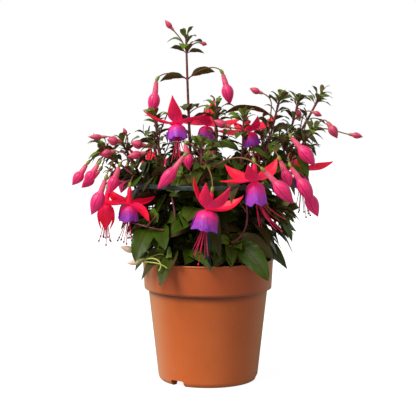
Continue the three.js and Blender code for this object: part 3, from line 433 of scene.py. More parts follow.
def makePlainLooks():
    # streaked stems that turn green with age, clods of compost with paler bits, dusty plastic, and pollen
    tree, shader = newMaterial("stem", Specular_IOR_Level=0.35)
    streaks = mottled(tree, 220, 2)
    burgundy = mixed(tree, streaks, srgb(100, 34, 50), srgb(148, 70, 86))
    green = mixed(tree, streaks, srgb(96, 88, 40), srgb(120, 120, 60))
    colour = mixed(tree, attributes(tree)["age"], burgundy, green)
    finishLook(tree, shader, colour, linear(tree, streaks, 0.2, 0.4), streaks, 0.3, 0.0004)
    tree, shader = newMaterial("compost", Specular_IOR_Level=0.2)
    clods = mottled(tree, 260, 5)
    bits = ramped(tree, mottled(tree, 520, 1), 0.85, 1.0)
    colour = mixed(tree, bits, mixed(tree, clods, srgb(16, 11, 8), srgb(52, 38, 28)), srgb(96, 72, 50))
    finishLook(tree, shader, colour, 0.95, clods, 0.8, 0.0015)
    tree, shader = newMaterial("hoopPlastic", Specular_IOR_Level=0.5)
    dust = mottled(tree, 120, 5)
    colour = mixed(tree, times(tree, dust, 0.4), srgb(28, 44, 40), srgb(72, 92, 88))
    finishLook(tree, shader, colour, linear(tree, dust, 0.25, 0.28), dust, 0.15, 0.0003)
    tree, shader = newMaterial("anther", Specular_IOR_Level=0.25)
    pollen = mottled(tree, 900, 2)
    colour = mixed(tree, pollen, srgb(48, 10, 40), srgb(96, 34, 62))
    finishLook(tree, shader, colour, 0.7, pollen, 0.5, 0.0003)


# Leaves by their mature, young, bronze, vein and rib colours; flower parts by near, far and vein colours, how
# many veins they have, how much these show, and roughness
leafTop = [[44, 62, 8], [118, 148, 44], [84, 46, 42], [88, 104, 36], [78, 40, 26]]
leafUnder = [[106, 104, 58], [142, 146, 80], [124, 76, 68], [112, 76, 52], [116, 50, 56]]
makeLeafLook("leafTop", leafTop, 0.3, 0.04)
makeLeafLook("leafUnder", leafUnder, 0.45, 0.0)
makeFlowerLook("sepal", [[238, 26, 84], [234, 8, 52], [150, 0, 34]], 2.5, 0.7, 0.42, glow=0.24)
makeFlowerLook("sepalInner", [[250, 54, 122], [244, 26, 82], [168, 0, 46]], 2.5, 0.6, 0.44, glow=0.2)
makeFlowerLook("petal", [[240, 50, 138], [154, 60, 182], [204, 0, 70]], 4.0, 0.95, 0.42,
               change=(0.1, 0.8), glow=0.14)
makeFlowerLook("budSkin", [[240, 104, 130], [240, 50, 118], [182, 6, 66]], 5.5, 0.85, 0.34,
               change=(0.2, 0.45), seamShare=0.85, glow=0.12)
makeFlowerLook("youngBudSkin", [[206, 120, 104], [222, 76, 110], [156, 20, 58]], 4.0, 0.65, 0.38,
               change=(0.1, 0.4), seamShare=0.8)
makeFlowerLook("witheredSkin", [[186, 196, 90], [240, 204, 176], [222, 120, 112]], 4.0, 0.55, 0.5)
makeFlowerLook("filament", [[226, 30, 84], [206, 20, 74], [150, 4, 40]], 2.0, 0.2, 0.35)
makeFlowerLook("stalk", [[118, 46, 50], [138, 98, 58], [84, 20, 30]], 2.0, 0.3, 0.4)
makeFlowerLook("paleStalk", [[150, 170, 70], [190, 200, 96], [120, 130, 50]], 2.0, 0.3, 0.4)
makeFlowerLook("ovary", [[128, 146, 56], [146, 150, 66], [96, 70, 34]], 3.0, 0.3, 0.32)
makePotLook()
makePlainLooks()
print("materials made:", len(looks))


# Pot: a moulded shell turned round its axis, with the same sizes as the solid
pot = {
    "height": 141, "rim": 75, "lipOut": 1.3, "lipHeight": 2, "bandHeight": 34, "bandTaper": 1.8,
    "bandStep": 4.6, "heelRadius": 57.5, "heelHeight": 7, "foot": 51.5, "wall": 1.8, "floorTop": 9,
    "grooveIn": 25, "grooveOut": 46, "grooveDepth": 6, "around": 160, "rounding": 0.6, "sharpAngle": 42,
    "holes": {"count": 6, "radius": 4, "ring": 32.5, "heights": [-5, 12]},
    "notches": {"count": 3, "width": 18, "height": 7, "first": 232, "squareness": 0.25},
}
stepHeight = pot["height"] - pot["bandHeight"]


def rounded(corners, radius, steps=4):
    # corner B of A, B, C turns to a quadratic curve from B + r(A - B)/|A - B| over B to B + r(C - B)/|C - B|
    corners = np.asarray(corners, float)
    middle = corners[1:-1]
    before, after = corners[:-2] - middle, corners[2:] - middle
    reach = np.minimum(radius, 0.45 * np.minimum(norm(before), norm(after)))[:, None]
    t = np.linspace(0, 1, steps)[:, None]
    arcs = middle[:, None] + reach * ((1 - t) ** 2 * unit(before)[:, None] + t**2 * unit(after)[:, None])
    return np.concatenate([corners[:1], arcs.reshape(-1, 2), corners[-1:]])


def turnedBody(profile, around, look):
    # (r, z) goes to (r cos f, r sin f, z); the profile runs from the axis back to the axis
    r, z = profile[1:-1, :1], profile[1:-1, 1:]
    ring = polar(r, 2 * np.pi * np.arange(around) / around, z)
    points = np.concatenate([ring.reshape(-1, 3), [[0, 0, profile[0, 1]], [0, 0, profile[-1, 1]]]])
    first = np.arange(around)
    caps = capFaces(len(points) - 2 + 0 * first, first, first + (len(r) - 1) * around)
    return {
        "look": look, "points": points, "faces": [gridFaces(1, len(r), around, True), *caps],
        "place": np.full((len(points), 3), 0.5), "age": np.full(len(points), 0.5),
    }


def potOuterRadius(z):  # a straight line from the heel to the step under the band
    bodyTop = pot["rim"] - pot["bandTaper"] - pot["bandStep"]
    rise = (z - pot["heelHeight"]) / (stepHeight - pot["heelHeight"])
    return pot["heelRadius"] + (bodyTop - pot["heelRadius"]) * rise


def buildPot():
    # the profile turned round, less a drill at each drain hole and a slot at each notch of the heel
    rim, lip, top, wall, foot = (pot[key] for key in ("rim", "lipOut", "height", "wall", "foot"))
    floorTop, grooveIn, grooveOut = pot["floorTop"], pot["grooveIn"], pot["grooveOut"]
    bodyTop, bandBottom = potOuterRadius(stepHeight), rim - pot["bandTaper"]
    turn = np.linspace(0, np.pi / 2, 7)[1:]
    heel = [foot + (pot["heelRadius"] - foot) * np.sin(turn), pot["heelHeight"] * (1 - np.cos(turn))]
    outside = [
        [0, 0], [grooveIn - 1, 0], [grooveIn + 1, pot["grooveDepth"]], [grooveOut - 1, pot["grooveDepth"]],
        [grooveOut + 1, 0], [foot, 0],
        *np.stack(heel, -1).tolist(), [bodyTop, stepHeight - 1], [bandBottom, stepHeight],
        [rim, top - pot["lipHeight"]], [rim + lip, top - pot["lipHeight"] / 2], [rim + lip / 2, top],
    ]
    inside = [
        [rim - wall, top], [bandBottom - wall, stepHeight + 3], [bodyTop - wall, stepHeight + 1],
        [pot["heelRadius"] - wall, floorTop + 3], [foot - wall / 2, floorTop], [0, floorTop],
    ]
    body = turnedBody(rounded(outside + inside, pot["rounding"]), pot["around"], "potPlastic")
    piece = addPiece("pot.shell", [body], "terracotta", "pot")
    holes, notches = pot["holes"], pot["notches"]
    spots = polar(holes["ring"], 2 * np.pi * (np.arange(holes["count"]) + 0.5) / holes["count"], 0)
    paths = spots[:, None] + up * np.reshape(holes["heights"], (2, 1))
    drills = sweep(paths, np.array([1.0, 0, 0]), holes["radius"], holes["radius"], "potPlastic", 32)
    out = polar(1, np.radians(notches["first"] + 360 / notches["count"] * np.arange(notches["count"])), 0)
    paths = out[:, None] * np.array([[grooveOut - 2], [pot["heelRadius"] + 8]])
    slots = sweep(paths, np.cross(up, out)[:, None], notches["width"] / 2, notches["height"],
                  "potPlastic", 24, notches["squareness"])
    cutter = addPiece("cutter", [drills, slots], "terracotta")
    cut = piece.modifiers.new("drains", "BOOLEAN")
    cut.object, cut.operation, cut.solver = cutter, "DIFFERENCE", "EXACT"
    bpy.context.view_layer.update()
    finished = bpy.data.meshes.new_from_object(piece.evaluated_get(bpy.context.evaluated_depsgraph_get()))
    piece.modifiers.remove(cut)
    piece.data = finished
    finished.set_sharp_from_angle(angle=math.radians(pot["sharpAngle"]))
    bpy.data.objects.remove(cutter)


buildPot()
print("pot made")

# Soil: the same lathe body under a rough top, with crumbs on it
soil = {
    "edge": 126, "crown": 129, "gap": 0.35, "rings": 44, "around": 120, "rough": 1.1,
    "crumbs": 420, "crumbReach": 68, "crumbDome": 70, "crumbSizes": [0.7, 2.2], "seed": 7,
}
gap = soil["gap"]


def soilTop(distance, reach):  # edge + (crown - edge) smooth(-r), which is level within 0.7 of the reach
    return soil["edge"] + (soil["crown"] - soil["edge"]) * smooth(-distance, -reach, -0.7 * reach)


def buildSoil():
    # bumps sin(0.9 x + 2 sin 0.31 y) cos(0.8 y + 1.7 sin 0.37 x) + 0.6 sin 2.3 x sin 2.1 y lift the top
    p, inset = pot, pot["wall"] + 1.4 * gap
    mouth = p["rim"] - 1 - inset
    low = [
        [0, p["floorTop"] + gap], [p["foot"] - p["wall"] - gap, p["floorTop"] + gap],
        [p["heelRadius"] - inset, p["floorTop"] + 3.5],
        [potOuterRadius(stepHeight) - inset, stepHeight + 1.2],
        [p["rim"] - p["bandTaper"] - inset, stepHeight + 4.5], [mouth, soil["edge"]],
    ]
    radius = np.linspace(mouth, 0, soil["rings"])[1:]
    profile = np.concatenate([low, np.stack([radius, soilTop(radius, radius[0])], -1)])
    body = turnedBody(profile, soil["around"], "compost")
    x, y, z = body["points"].T
    bumps = np.sin(0.9 * x + 2 * np.sin(0.31 * y)) * np.cos(0.8 * y + 1.7 * np.sin(0.37 * x))
    bumps = bumps + 0.6 * np.sin(2.3 * x) * np.sin(2.1 * y)
    body["points"][:, 2] += soil["rough"] * (bumps - 0.8) * (z > soil["edge"] + 0.3)
    rng, count = np.random.default_rng(soil["seed"]), soil["crumbs"]
    angle = rng.uniform(0, 2 * np.pi, count)
    distance = soil["crumbReach"] * np.sqrt(rng.uniform(0, 1, count))
    size = rng.uniform(*soil["crumbSizes"], count)
    centre = polar(distance, angle, soilTop(distance, soil["crumbDome"]) + 0.2 * size)
    lie = unit(rng.normal(size=(count, 3)) * [1, 1, 0.4])
    path = centre[:, None] + lie[:, None] * (size[:, None] * np.linspace(-1, 1, 4))[..., None]
    fat = size[:, None] * np.array([0.25, 0.62, 0.55, 0.2]) * rng.uniform(0.7, 1.2, (count, 4))
    addPiece("soil.top", [body, tubes(path, fat, "compost", 5)], "soil", "soil")


buildSoil()
print("soil made")

# Support: a band on four legs, each with a curved foot plate and a spike
support = {
    "ring": 84, "height": 228, "band": 5, "thick": 2, "steps": 144, "sides": 16, "squareness": 0.35,
    "legs": [0, 90, 180, 270], "legWidth": 6, "legThick": 2.2, "legFoot": 67, "legRows": 40, "ribRadius": 0.9,
    "flare": 4, "flareFrom": 131, "flareTo": 150, "spike": 30, "spikeTip": [-6, 12],
    "footHalfAngle": 15, "footWidth": 6, "footHalfThick": 1.0, "footRise": 1.35,
}


def hoopSweep(path, across, wide, thick):
    return sweep(path[None], across, wide, thick, "hoopPlastic", support["sides"], support["squareness"])


def buildSupport():
    # the band ends on its own first points; a leg leans out from the soil and flares at its foot plate
    s = support
    circle = polar(s["ring"], np.radians(np.linspace(0, 360, s["steps"] + 1)), s["height"])
    band = hoopSweep(circle, up, s["band"] / 2, s["thick"] / 2)
    band["points"][s["steps"] * s["sides"]:(s["steps"] + 1) * s["sides"]] = band["points"][:s["sides"]]
    band["faces"] = band["faces"][:1]
    for key in ("points", "place", "age"):
        band[key] = band[key][:(s["steps"] + 1) * s["sides"]]
    batches = [band]
    lean = (s["ring"] - s["legFoot"]) / (s["height"] - soil["edge"])
    z = np.linspace(soil["edge"] - s["spike"], s["height"], s["legRows"])
    spike = smooth(z, *(z[0] + end for end in s["spikeTip"]))
    flare = smooth(-z, -s["flareTo"], -s["flareFrom"]) * (z > soil["crown"])
    for leg in np.radians(s["legs"]):
        out = polar(1, leg, 0)
        path = out * (s["legFoot"] + (z - soil["edge"]) * lean)[:, None] + up * z[:, None]
        wide = s["legWidth"] / 2 * spike + s["flare"] * flare
        batches.append(hoopSweep(path, np.cross(up, out), wide[None, :, None], s["legThick"] / 2))
        rib = path[4:-1] + out * s["legThick"] * 0.5
        batches.append(tubes(rib[None], s["ribRadius"], "hoopPlastic", 8))
        spread = leg + np.radians(np.linspace(-s["footHalfAngle"], s["footHalfAngle"], 17))
        plate = polar(s["legFoot"] + 1 - s["footWidth"] / 2, spread, soil["crown"] + s["footRise"])
        batches.append(hoopSweep(plate, -polar(1, spread, 0)[None], s["footWidth"] / 2, s["footHalfThick"]))
    addPiece("support_ring.hoop", batches, "support", "support_ring")


buildSupport()
print("support made")

# The plant. Each shoot starts from a point in the soil or a share of its parent; nodes is the first and last
# share with a pair of leaves and how many pairs, leaf is their length and turn the first pair's angle
shootKeys = ["from", "radius", "bend", "tip", "nodes", "leaf", "turn"]
shootRows = {
    "cane_tall": [[-12, 5, 0], 2.2, [-21, 8, 230], [-25, 8, 396], [0.12, 0.68, 7], 46, 5],
    "cane_right": [[14, 4, 0], 2.4, [76, 16, 222], [131, 8, 332], [0.2, 0.94, 9], 44, 40],
    "cane_left": [[-20, -2, 0], 2.3, [-62, -8, 205], [-98, -10, 275], [0.2, 0.92, 7], 44, 60],
    "cane_front": [[-4, -18, 0], 2, [-8, -52, 190], [-7, -50, 276], [0.16, 0.92, 7], 46, 20],
    "cane_back": [[0, 22, 0], 2.3, [4, 62, 200], [10, 74, 302], [0.18, 0.92, 8], 46, 30],
    "cane_centre": [[5, -2, 0], 2.3, [8, -14, 220], [10, -15, 318], [0.2, 0.86, 7], 48, 75],
    "shoot_right_inner": [["cane_right", 0.5], 1.5, [88, 30, 250], [105, 25, 322], [0.28, 0.92, 5], 36, 10],
    "shoot_right_middle": [["cane_right", 0.34], 1.6, [58, -8, 230], [82, -5, 326], [0.25, 0.93, 6], 42, 55],
    "shoot_centre_right": [
        ["cane_centre", 0.34], 1.5, [40, -34, 205], [40, -30, 306], [0.28, 0.94, 6], 42, 15,
    ],
    "shoot_left_low": [["cane_left", 0.5], 1.5, [-66, -20, 232], [-120, -26, 264], [0.3, 0.93, 5], 36, 80],
    "shoot_left_upper": [["cane_tall", 0.22], 1.6, [-52, -16, 214], [-60, -16, 304], [0.28, 0.94, 7], 40, 35],
    "shoot_right_low": [["cane_right", 0.52], 1.4, [78, -14, 236], [120, -22, 290], [0.3, 0.92, 5], 34, 65],
    "shoot_right_skirt": [[24, -8, 0], 1.7, [66, -20, 214], [88, -26, 196], [0.3, 0.86, 5], 50, 45],
    "shoot_front_skirt": [[10, -24, 0], 1.7, [24, -44, 172], [28, -58, 162], [0.35, 0.8, 3], 48, 10],
    "shoot_left_skirt": [[-28, 6, 0], 1.7, [-58, -30, 186], [-66, -46, 184], [0.3, 0.86, 4], 46, 70],
    "shoot_rim": [[-24, -22, 0], 1.5, [-40, -50, 152], [-50, -58, 150], [0.5, 0.5, 1], 34, 30],
    "shoot_back_right": [["cane_back", 0.36], 1.6, [48, 50, 200], [68, 58, 284], [0.25, 0.92, 6], 44, 20],
    "shoot_back_left": [["cane_back", 0.3], 1.6, [-44, 46, 196], [-66, 56, 272], [0.25, 0.92, 6], 44, 50],
    "shoot_back_skirt": [[10, 34, 0], 1.7, [22, 72, 186], [20, 92, 190], [0.3, 0.85, 5], 50, 35],
}
shoots = {name: dict(zip(shootKeys, row)) for name, row in shootRows.items()}

# Leaves placed one by one, by the shoot that bears them: share, tip, width and roll
setLeaves = {
    "cane_tall": [
        [0.82, [-55, 2, 343], 12, 40], [0.82, [8, 4, 354], 12, -40], [0.925, [-43, 6, 381], 9, 30],
        [0.925, [-4, 2, 375], 9, -30],
    ],
    "cane_left": [[0.8, [-62, -22, 268], 11, -20]],
    "cane_front": [
        [0.45, [-40, -78, 178], 18, -20], [0.8, [-16, -94, 226], 12, 10], [0.62, [13, -79, 150], 18, -10],
    ],
    "cane_centre": [[0.92, [72, -14, 305], 15, -30], [0.92, [-22, -22, 299], 14, 30]],
    "shoot_centre_right": [[0.55, [25, -92, 213], 17, 15]],
    "shoot_left_upper": [[0.5, [-72, -60, 222], 15, 10]],
    "shoot_right_skirt": [
        [0.72, [95, -50, 152], 13, -20], [0.86, [96, -52, 172], 15, -20], [0.95, [98, -34, 184], 14, -20],
    ],
    "shoot_front_skirt": [
        [0.93, [66, -86, 127], 25, 38], [0.86, [71, -64, 149], 22, 30], [0.79, [6, -86, 143], 19, -30],
    ],
    "shoot_left_skirt": [[0.93, [-80, -72, 146], 24, -30], [0.84, [-47, -82, 160], 19, -20]],
    "shoot_rim": [
        [0.8, [-52, -88, 121], 16, -20], [0.93, [-73, -79, 127], 11, -10], [0.7, [-38, -84, 143], 13, 0],
        [0.6, [5, -88, 137], 10, 0],
    ],
}

# Bare stems that show between the leaves, by the shoot that bears them: radius, material and points
limbs = {
    "shoot_front_skirt": [
        [1.3, "stem", [26, -62, 166], [44, -74, 175], [45, -78, 195], [41, -74, 214]],
        [0.9, "stem", [42, -76, 201], [39, -72, 207], [34, -66, 212]],
    ],
    "shoot_left_low": [
        [1.2, "stem", [-109, -30, 257], [-99, -32, 251], [-85, -34, 240]],
        [1.1, "stem", [-98, -28, 267], [-90, -32, 260], [-82, -34, 249]],
    ],
    "shoot_left_skirt": [
        [1.0, "stem", [-86, -50, 188], [-69, -60, 183], [-49, -62, 180]],
        [0.8, "stem", [-68, -60, 184], [-61, -60, 190], [-56, -58, 198]],
        [0.8, "paleStalk", [-82, -44, 161], [-73, -52, 160], [-66, -60, 155]],
    ],
    "cane_front": [[1.2, "stem", [-40, -60, 216], [-37, -64, 205], [-36, -64, 192]]],
    "shoot_rim": [
        [0.9, "paleStalk", [-74, -60, 144], [-61, -74, 156], [-46, -78, 147], [-54, -80, 137]],
        [0.8, "paleStalk", [-74, -62, 145], [-63, -76, 146], [-52, -80, 147], [-45, -80, 140]],
    ],
}
# Flowers: bearer and share, top and mouth of the tube, four sepals as azimuth, lift and twist, length and
# radius of the corolla, length of the style, and where they differ the sepals' length and a lean
bloomKeys = ["on", "top", "mouth", "sepals", "corolla", "style", "sepalLength", "lean"]
bloomRows = {
    "bloom_front": [
        ["cane_front", 0.86], [4, -94, 224], [0, -94, 205],
        [[205, 54, -40], [252, 48, 10], [311, 50, -12], [4, 33, 36]], [23, 13.5], 60,
    ],
    "bloom_right": [
        ["shoot_centre_right", 0.52], [50, -89, 255], [51, -90, 236],
        [[150, 28, -36], [200, 2, -12], [38, 36, 34], [258, 28, 10]], [26, 10.5], 66, 40, 0.6,
    ],
    "bloom_left": [
        ["shoot_left_low", 0.5], [-87, -50, 226], [-88, -50, 207],
        [[196, 0, -12], [140, 24, -24], [40, 12, 16], [318, -28, 8]], [19, 9.8], 44, 36,
    ],
    "bloom_upper_left": [
        ["shoot_left_upper", 0.8], [-36, -31, 314], [-35, -36, 297],
        [[182, 26, -24], [266, 36, 0], [326, 4, 6], [92, 24, 0]], [18, 10.2], 46,
    ],
    "bloom_upper_middle": [
        ["cane_tall", 0.68], [1, 16, 311], [-1, 16, 293],
        [[164, 6, -30], [262, 26, 0], [350, 18, 30], [80, 50, 0]], [17, 9], 42,
    ],
    "bloom_upper_right": [
        ["shoot_centre_right", 0.86], [43, 6, 304], [47, 6, 286],
        [[204, 14, -30], [290, 24, 0], [20, 16, 30], [112, 20, 0]], [17, 9], 42,
    ],
    "bloom_left_opening": [
        ["shoot_left_low", 0.78], [-112, -46, 223], [-113, -47, 204],
        [[0, -86, 0], [90, -86, 0], [180, -86, 0], [270, -86, 0]], [15, 4.8], 42, 28,
    ],
    "bloom_far_right": [
        ["shoot_right_low", 0.55], [105, 22, 258], [107, 22, 240],
        [[10, 8, 30], [100, 20, 0], [190, 74, 0], [280, 4, 0]], [19, 9], 54,
    ],
    "bloom_back_left": [
        ["shoot_back_left", 0.78], [-64, 96, 260], [-64, 97, 242],
        [[15, 20, 30], [285, 22, 0], [195, 34, -30], [105, 26, 0]], [24, 12], 54,
    ],
    "bloom_back_right": [
        ["shoot_back_right", 0.6], [62, 98, 242], [62, 99, 224],
        [[40, 24, 20], [310, 26, 0], [220, 30, -20], [130, 34, 0]], [26, 12.5], 58,
    ],
}
blooms = {name: dict(zip(bloomKeys, row)) for name, row in bloomRows.items()}

# Buds: name, bearer, share, top, tip and radius; the young ones are parts of their shoots and have no name
buds = [
    ["bud_tall_left", "cane_tall", 0.82, [-59, 4, 343], [-65, 4, 305], 7],
    ["bud_tall_right", "cane_tall", 0.82, [17, 0, 351], [25, -1, 317], 7],
    ["bud_left_outer", "shoot_left_low", 0.93, [-137, -27, 250], [-153, -27, 227], 6.2],
    ["bud_left_mid", "shoot_left_low", 0.93, [-123, -42, 251], [-138, -43, 230], 6.2],
    ["bud_left_inner", "shoot_left_low", 0.93, [-124, -13, 242], [-144, -13, 223], 6],
    ["bud_left_large", "shoot_left_low", 0.78, [-113, -70, 236], [-128, -71, 198], 8],
    ["bud_left_near", "cane_left", 0.7, [-99, -52, 249], [-110, -53, 220], 6.6],
    ["bud_front_left", "cane_front", 0.74, [-27, -77, 262], [-55, -80, 227], 7.4],
    ["bud_front_upper", "cane_front", 0.9, [-25, -54, 274], [-21, -55, 246], 6],
    ["bud_front_right", "cane_front", 0.74, [61, -108, 248], [91, -110, 214], 8.2],
    ["bud_right_pale", "shoot_right_middle", 0.45, [80, -58, 256], [91, -58, 227], 6.2],
    ["bud_right_near", "shoot_right_low", 0.55, [92, -58, 249], [116, -60, 210], 8],
    ["bud_right_behind", "shoot_right_low", 0.3, [105, -40, 229], [123, -43, 193], 7.6],
    ["bud_right_upper", "shoot_right_low", 0.78, [93, -42, 281], [119, -46, 250], 7.8],
    ["bud_back_centre", "cane_back", 0.8, [2, 104, 270], [2, 108, 234], 7.6],
    ["bud_back_left", "shoot_back_left", 0.6, [-96, 62, 244], [-104, 66, 210], 7.4],
    ["bud_back_right", "shoot_back_right", 0.78, [100, 66, 262], [108, 68, 227], 7.4],
]

youngBuds = [
    ["cane_tall", 0.925, [-39, 9, 401], [-49, 9, 413], 3.2],
    ["cane_tall", 0.925, [-9, 6, 387], [-1, 5, 385], 2.6],
    ["cane_left", 0.94, [-115, -12, 281], [-136, -12, 281], 3.4],
    ["cane_left", 0.83, [-98, -26, 276], [-113, -34, 279], 5.6],
    ["cane_left", 0.94, [-92, -8, 281], [-96, -8, 291], 2.4],
    ["cane_left", 0.7, [-70, -18, 271], [-87, -24, 275], 5.2],
    ["cane_left", 0.56, [-70, -30, 264], [-90, -36, 260], 5],
    ["shoot_left_low", 0.93, [-104, -32, 266], [-122, -38, 262], 5],
    ["shoot_centre_right", 0.86, [25, -46, 293], [6, -48, 301], 4.8],
    ["shoot_right_middle", 0.65, [62, -12, 330], [47, -12, 336], 3.8],
    ["shoot_right_low", 0.92, [159, -18, 284], [175, -18, 281], 3.6],
    ["shoot_right_low", 0.92, [134, -28, 298], [145, -30, 280], 5.4],
    ["cane_right", 0.77, [118, 2, 309], [130, 0, 304], 3.2],
    ["shoot_right_inner", 0.78, [106, 14, 300], [103, 12, 312], 3.4],
    ["shoot_rim", 0.95, [-70, -56, 147], [-90, -56, 142], 3.6],
    ["shoot_left_skirt", 0.88, [-78, -46, 154], [-98, -48, 160], 3.8],
]
stem = {"depth": 14, "rise": 30, "tipRadius": 1.2, "spans": 6, "sides": 10, "rows": 40, "clearance": 0.5}
leafForm = {
    "petiole": 0.15, "petioleHalf": 0.6, "fold": 0.2, "thick": 0.5, "grid": [9, 5], "fineGrid": [17, 9],
    "tilt": 66, "tipTilt": 40, "roll": 48, "droop": [0.1, 0.3, 0.35], "wave": 0.09, "teeth": 0.03,
    "lowBelow": 240, "low": {"aspect": 0.52, "outward": 1.3, "recurve": 0.05},
    "high": {"aspect": 0.38, "outward": 0.3, "recurve": 0.12},
}
bends = [  # lift and swing of a new leaf, tried in this order
    [0, 0], [16, 0], [-16, 0], [0, 22], [0, -22], [30, 12], [30, -12], [-28, 0], [0, 40], [0, -40], [44, 0],
]
reach = {"leaf": 2.6, "own": 3.4, "crowded": 1.1}


def stemPoint(curve, share):  # the point on the chords between equally spaced points of the curve
    stops = np.arange(stem["spans"] + 1) / stem["spans"]
    corners = along(curve, stops)
    return np.array([np.interp(share, stops, corners[:, k]) for k in range(3)])


def growStems():
    # a curve over start, bend and tip, which rises steeply first where the shoot starts in the soil
    plants = {}
    for index, (name, shoot) in enumerate(shoots.items()):
        bend, tip = np.array(shoot["bend"], float), np.array(shoot["tip"], float)
        if shoot["from"][0] in plants:
            start = stemPoint(plants[shoot["from"][0]]["curve"], shoot["from"][1])
            curve = makeCurve(start, bend, tip)
        else:
            start = np.array([*shoot["from"][:2], soil["crown"] - stem["depth"]], float)
            rise = start + 0.12 * (bend - start)
            rise[2] = soil["crown"] + stem["rise"]
            curve = makeCurve(start, rise, bend, tip)
        side = unit(np.array([start[1] - tip[1], tip[0] - start[0], 0.0]))
        plants[name] = {
            "index": index, "curve": curve, "side": side, "shoot": shoot, "set": setLeaves.get(name, []),
            "limbs": limbs.get(name, []), "leaves": [], "wood": [], "young": [],
        }
    return plants


# What stands already: balls with an owner, which new leaves keep clear of
mostBalls = 40000
balls = {
    "centre": np.empty((mostBalls, 3)), "radius": np.empty(mostBalls), "owner": np.empty(mostBalls, int),
    "leafy": np.empty(mostBalls, bool), "count": 0,
}
owners = {}


def mark(owner, points, radius, leafy=False):  # adds a ball at each point
    points = np.reshape(points, (-1, 3))
    where = slice(balls["count"], balls["count"] + len(points))
    balls["centre"][where] = points
    balls["radius"][where] = radius
    balls["owner"][where] = owners.setdefault(owner, len(owners))
    balls["leafy"][where] = leafy
    balls["count"] += len(points)


def isClear(owner, points, crowded):
    # each point is at least the sum of the reaches from each ball; reaches are less for crowded leaves
    r, z = np.hypot(points[:, 0], points[:, 1]), points[:, 2]
    inSoil = (z < soil["crown"] + reach["leaf"]) & (r < pot["rim"] - pot["wall"])
    inRim = (z < pot["height"] + reach["leaf"]) & (np.abs(r - pot["rim"]) < pot["wall"] + reach["leaf"])
    if (inSoil | inRim).any():
        return False
    n = balls["count"]
    leafy, own = balls["leafy"][:n], balls["owner"][:n] == owners.setdefault(owner, len(owners))
    least = np.where(own, np.where(leafy, reach["own"], 0), reach["leaf"] + balls["radius"][:n])
    if crowded:
        least = np.where(leafy, reach["crowded"], np.where(own, 0, 0.5 * reach["leaf"] + balls["radius"][:n]))
    apart = ((points[:, None] - balls["centre"][:n]) ** 2).sum(-1)
    return bool((apart >= least**2).all())


def leafStyle(base):
    return leafForm["low" if base[2] < leafForm["lowBelow"] else "high"]


def leafHalfWidth(u, width):
    # max(petiole, w/2 sin(pi x^0.85)^p), with x the share of the blade, and p less when the leaf is wide
    x = np.clip((u - leafForm["petiole"]) / (1 - leafForm["petiole"]), 0, 1)
    blunt = np.clip(1.1 - 0.022 * np.asarray(width), 0.65, 1)
    blade = width / 2 * np.maximum(np.sin(np.pi * x**0.85), 0) ** blunt
    return np.maximum(leafForm["petioleHalf"] * (1 - 0.6 * x), blade)


def leafSide(base, tip, heading, roll):
    # run x facing, turned about the run; leaves face along the stem, up and outward
    run = unit(tip - base)
    outward = unit(tip * [1, 1, 0])
    facing = 0.35 * heading + 0.65 * up + leafStyle(base)["outward"] * outward
    return turned(unit(np.cross(run, facing)), run, math.radians(roll))


def bladePoints(leaf, shares, across):  # base + (tip - base) u + 4 arch u (1 - u) upward + s v h(u)
    u, v = np.reshape(shares, (-1, 1, 1)), np.reshape(across, (-1, 1))
    rib = leaf["base"] + (leaf["tip"] - leaf["base"]) * u + up * 4 * leaf["arch"] * u * (1 - u)
    return (rib + leaf["side"] * v * leafHalfWidth(u, leaf["width"])).reshape(-1, 3)


def leafSamples(leaf):
    return bladePoints(leaf, [0.25, 0.4, 0.55, 0.7, 0.85, 1], [-0.6, 0, 0.6])[:16]


def acrossAxes(plant, run):  # the plant's side, made square to the run, and run x side
    first = unit(plant["side"] - run * (plant["side"] @ run))
    return first, np.cross(run, first)


def growLeaf(owner, plant, share, angle, tilt, length, key, crowded, age):
    # a tip at length (run cos b + out sin b), less its sag, with the first bend that leaves the leaf clear
    index, curve = plant["index"], plant["curve"]
    base, run = stemPoint(curve, share), heading(curve, share)
    first, second = acrossAxes(plant, run)
    style = leafStyle(base)
    least, spread, old = leafForm["droop"]
    sag = (least + spread * chance(index, key, 3) + old * (1 - share)) * min(1, length / 30) * length
    for lift, swing in bends:
        a, b = math.radians(angle + swing), math.radians(tilt - lift)
        out = first * math.cos(a) + second * math.sin(a)
        tip = base + length * (run * math.cos(b) + out * math.sin(b)) - up * sag
        leaf = {
            "base": base, "tip": tip,
            "arch": sag / 4 + (style["recurve"] + (0.05 if crowded else 0)) * length,
            "width": length * style["aspect"] * (0.92 + 0.16 * chance(index, key, 4)),
            "side": leafSide(base, tip, run, leafForm["roll"] * (chance(index, key, 5) - 0.5)),
            "age": age, "tone": chance(index, key, 6),
        }
        samples = leafSamples(leaf)
        if isClear(owner, samples, crowded):
            mark(owner, samples, reach["leaf"], True)
            leaf["base"] = along(curve, share)
            plant["leaves"].append(leaf)
            return


def pairShares(shoot):
    first, last, pairs = shoot["nodes"]
    return [first + (last - first) * k / max(pairs - 1, 1) for k in range(pairs)]


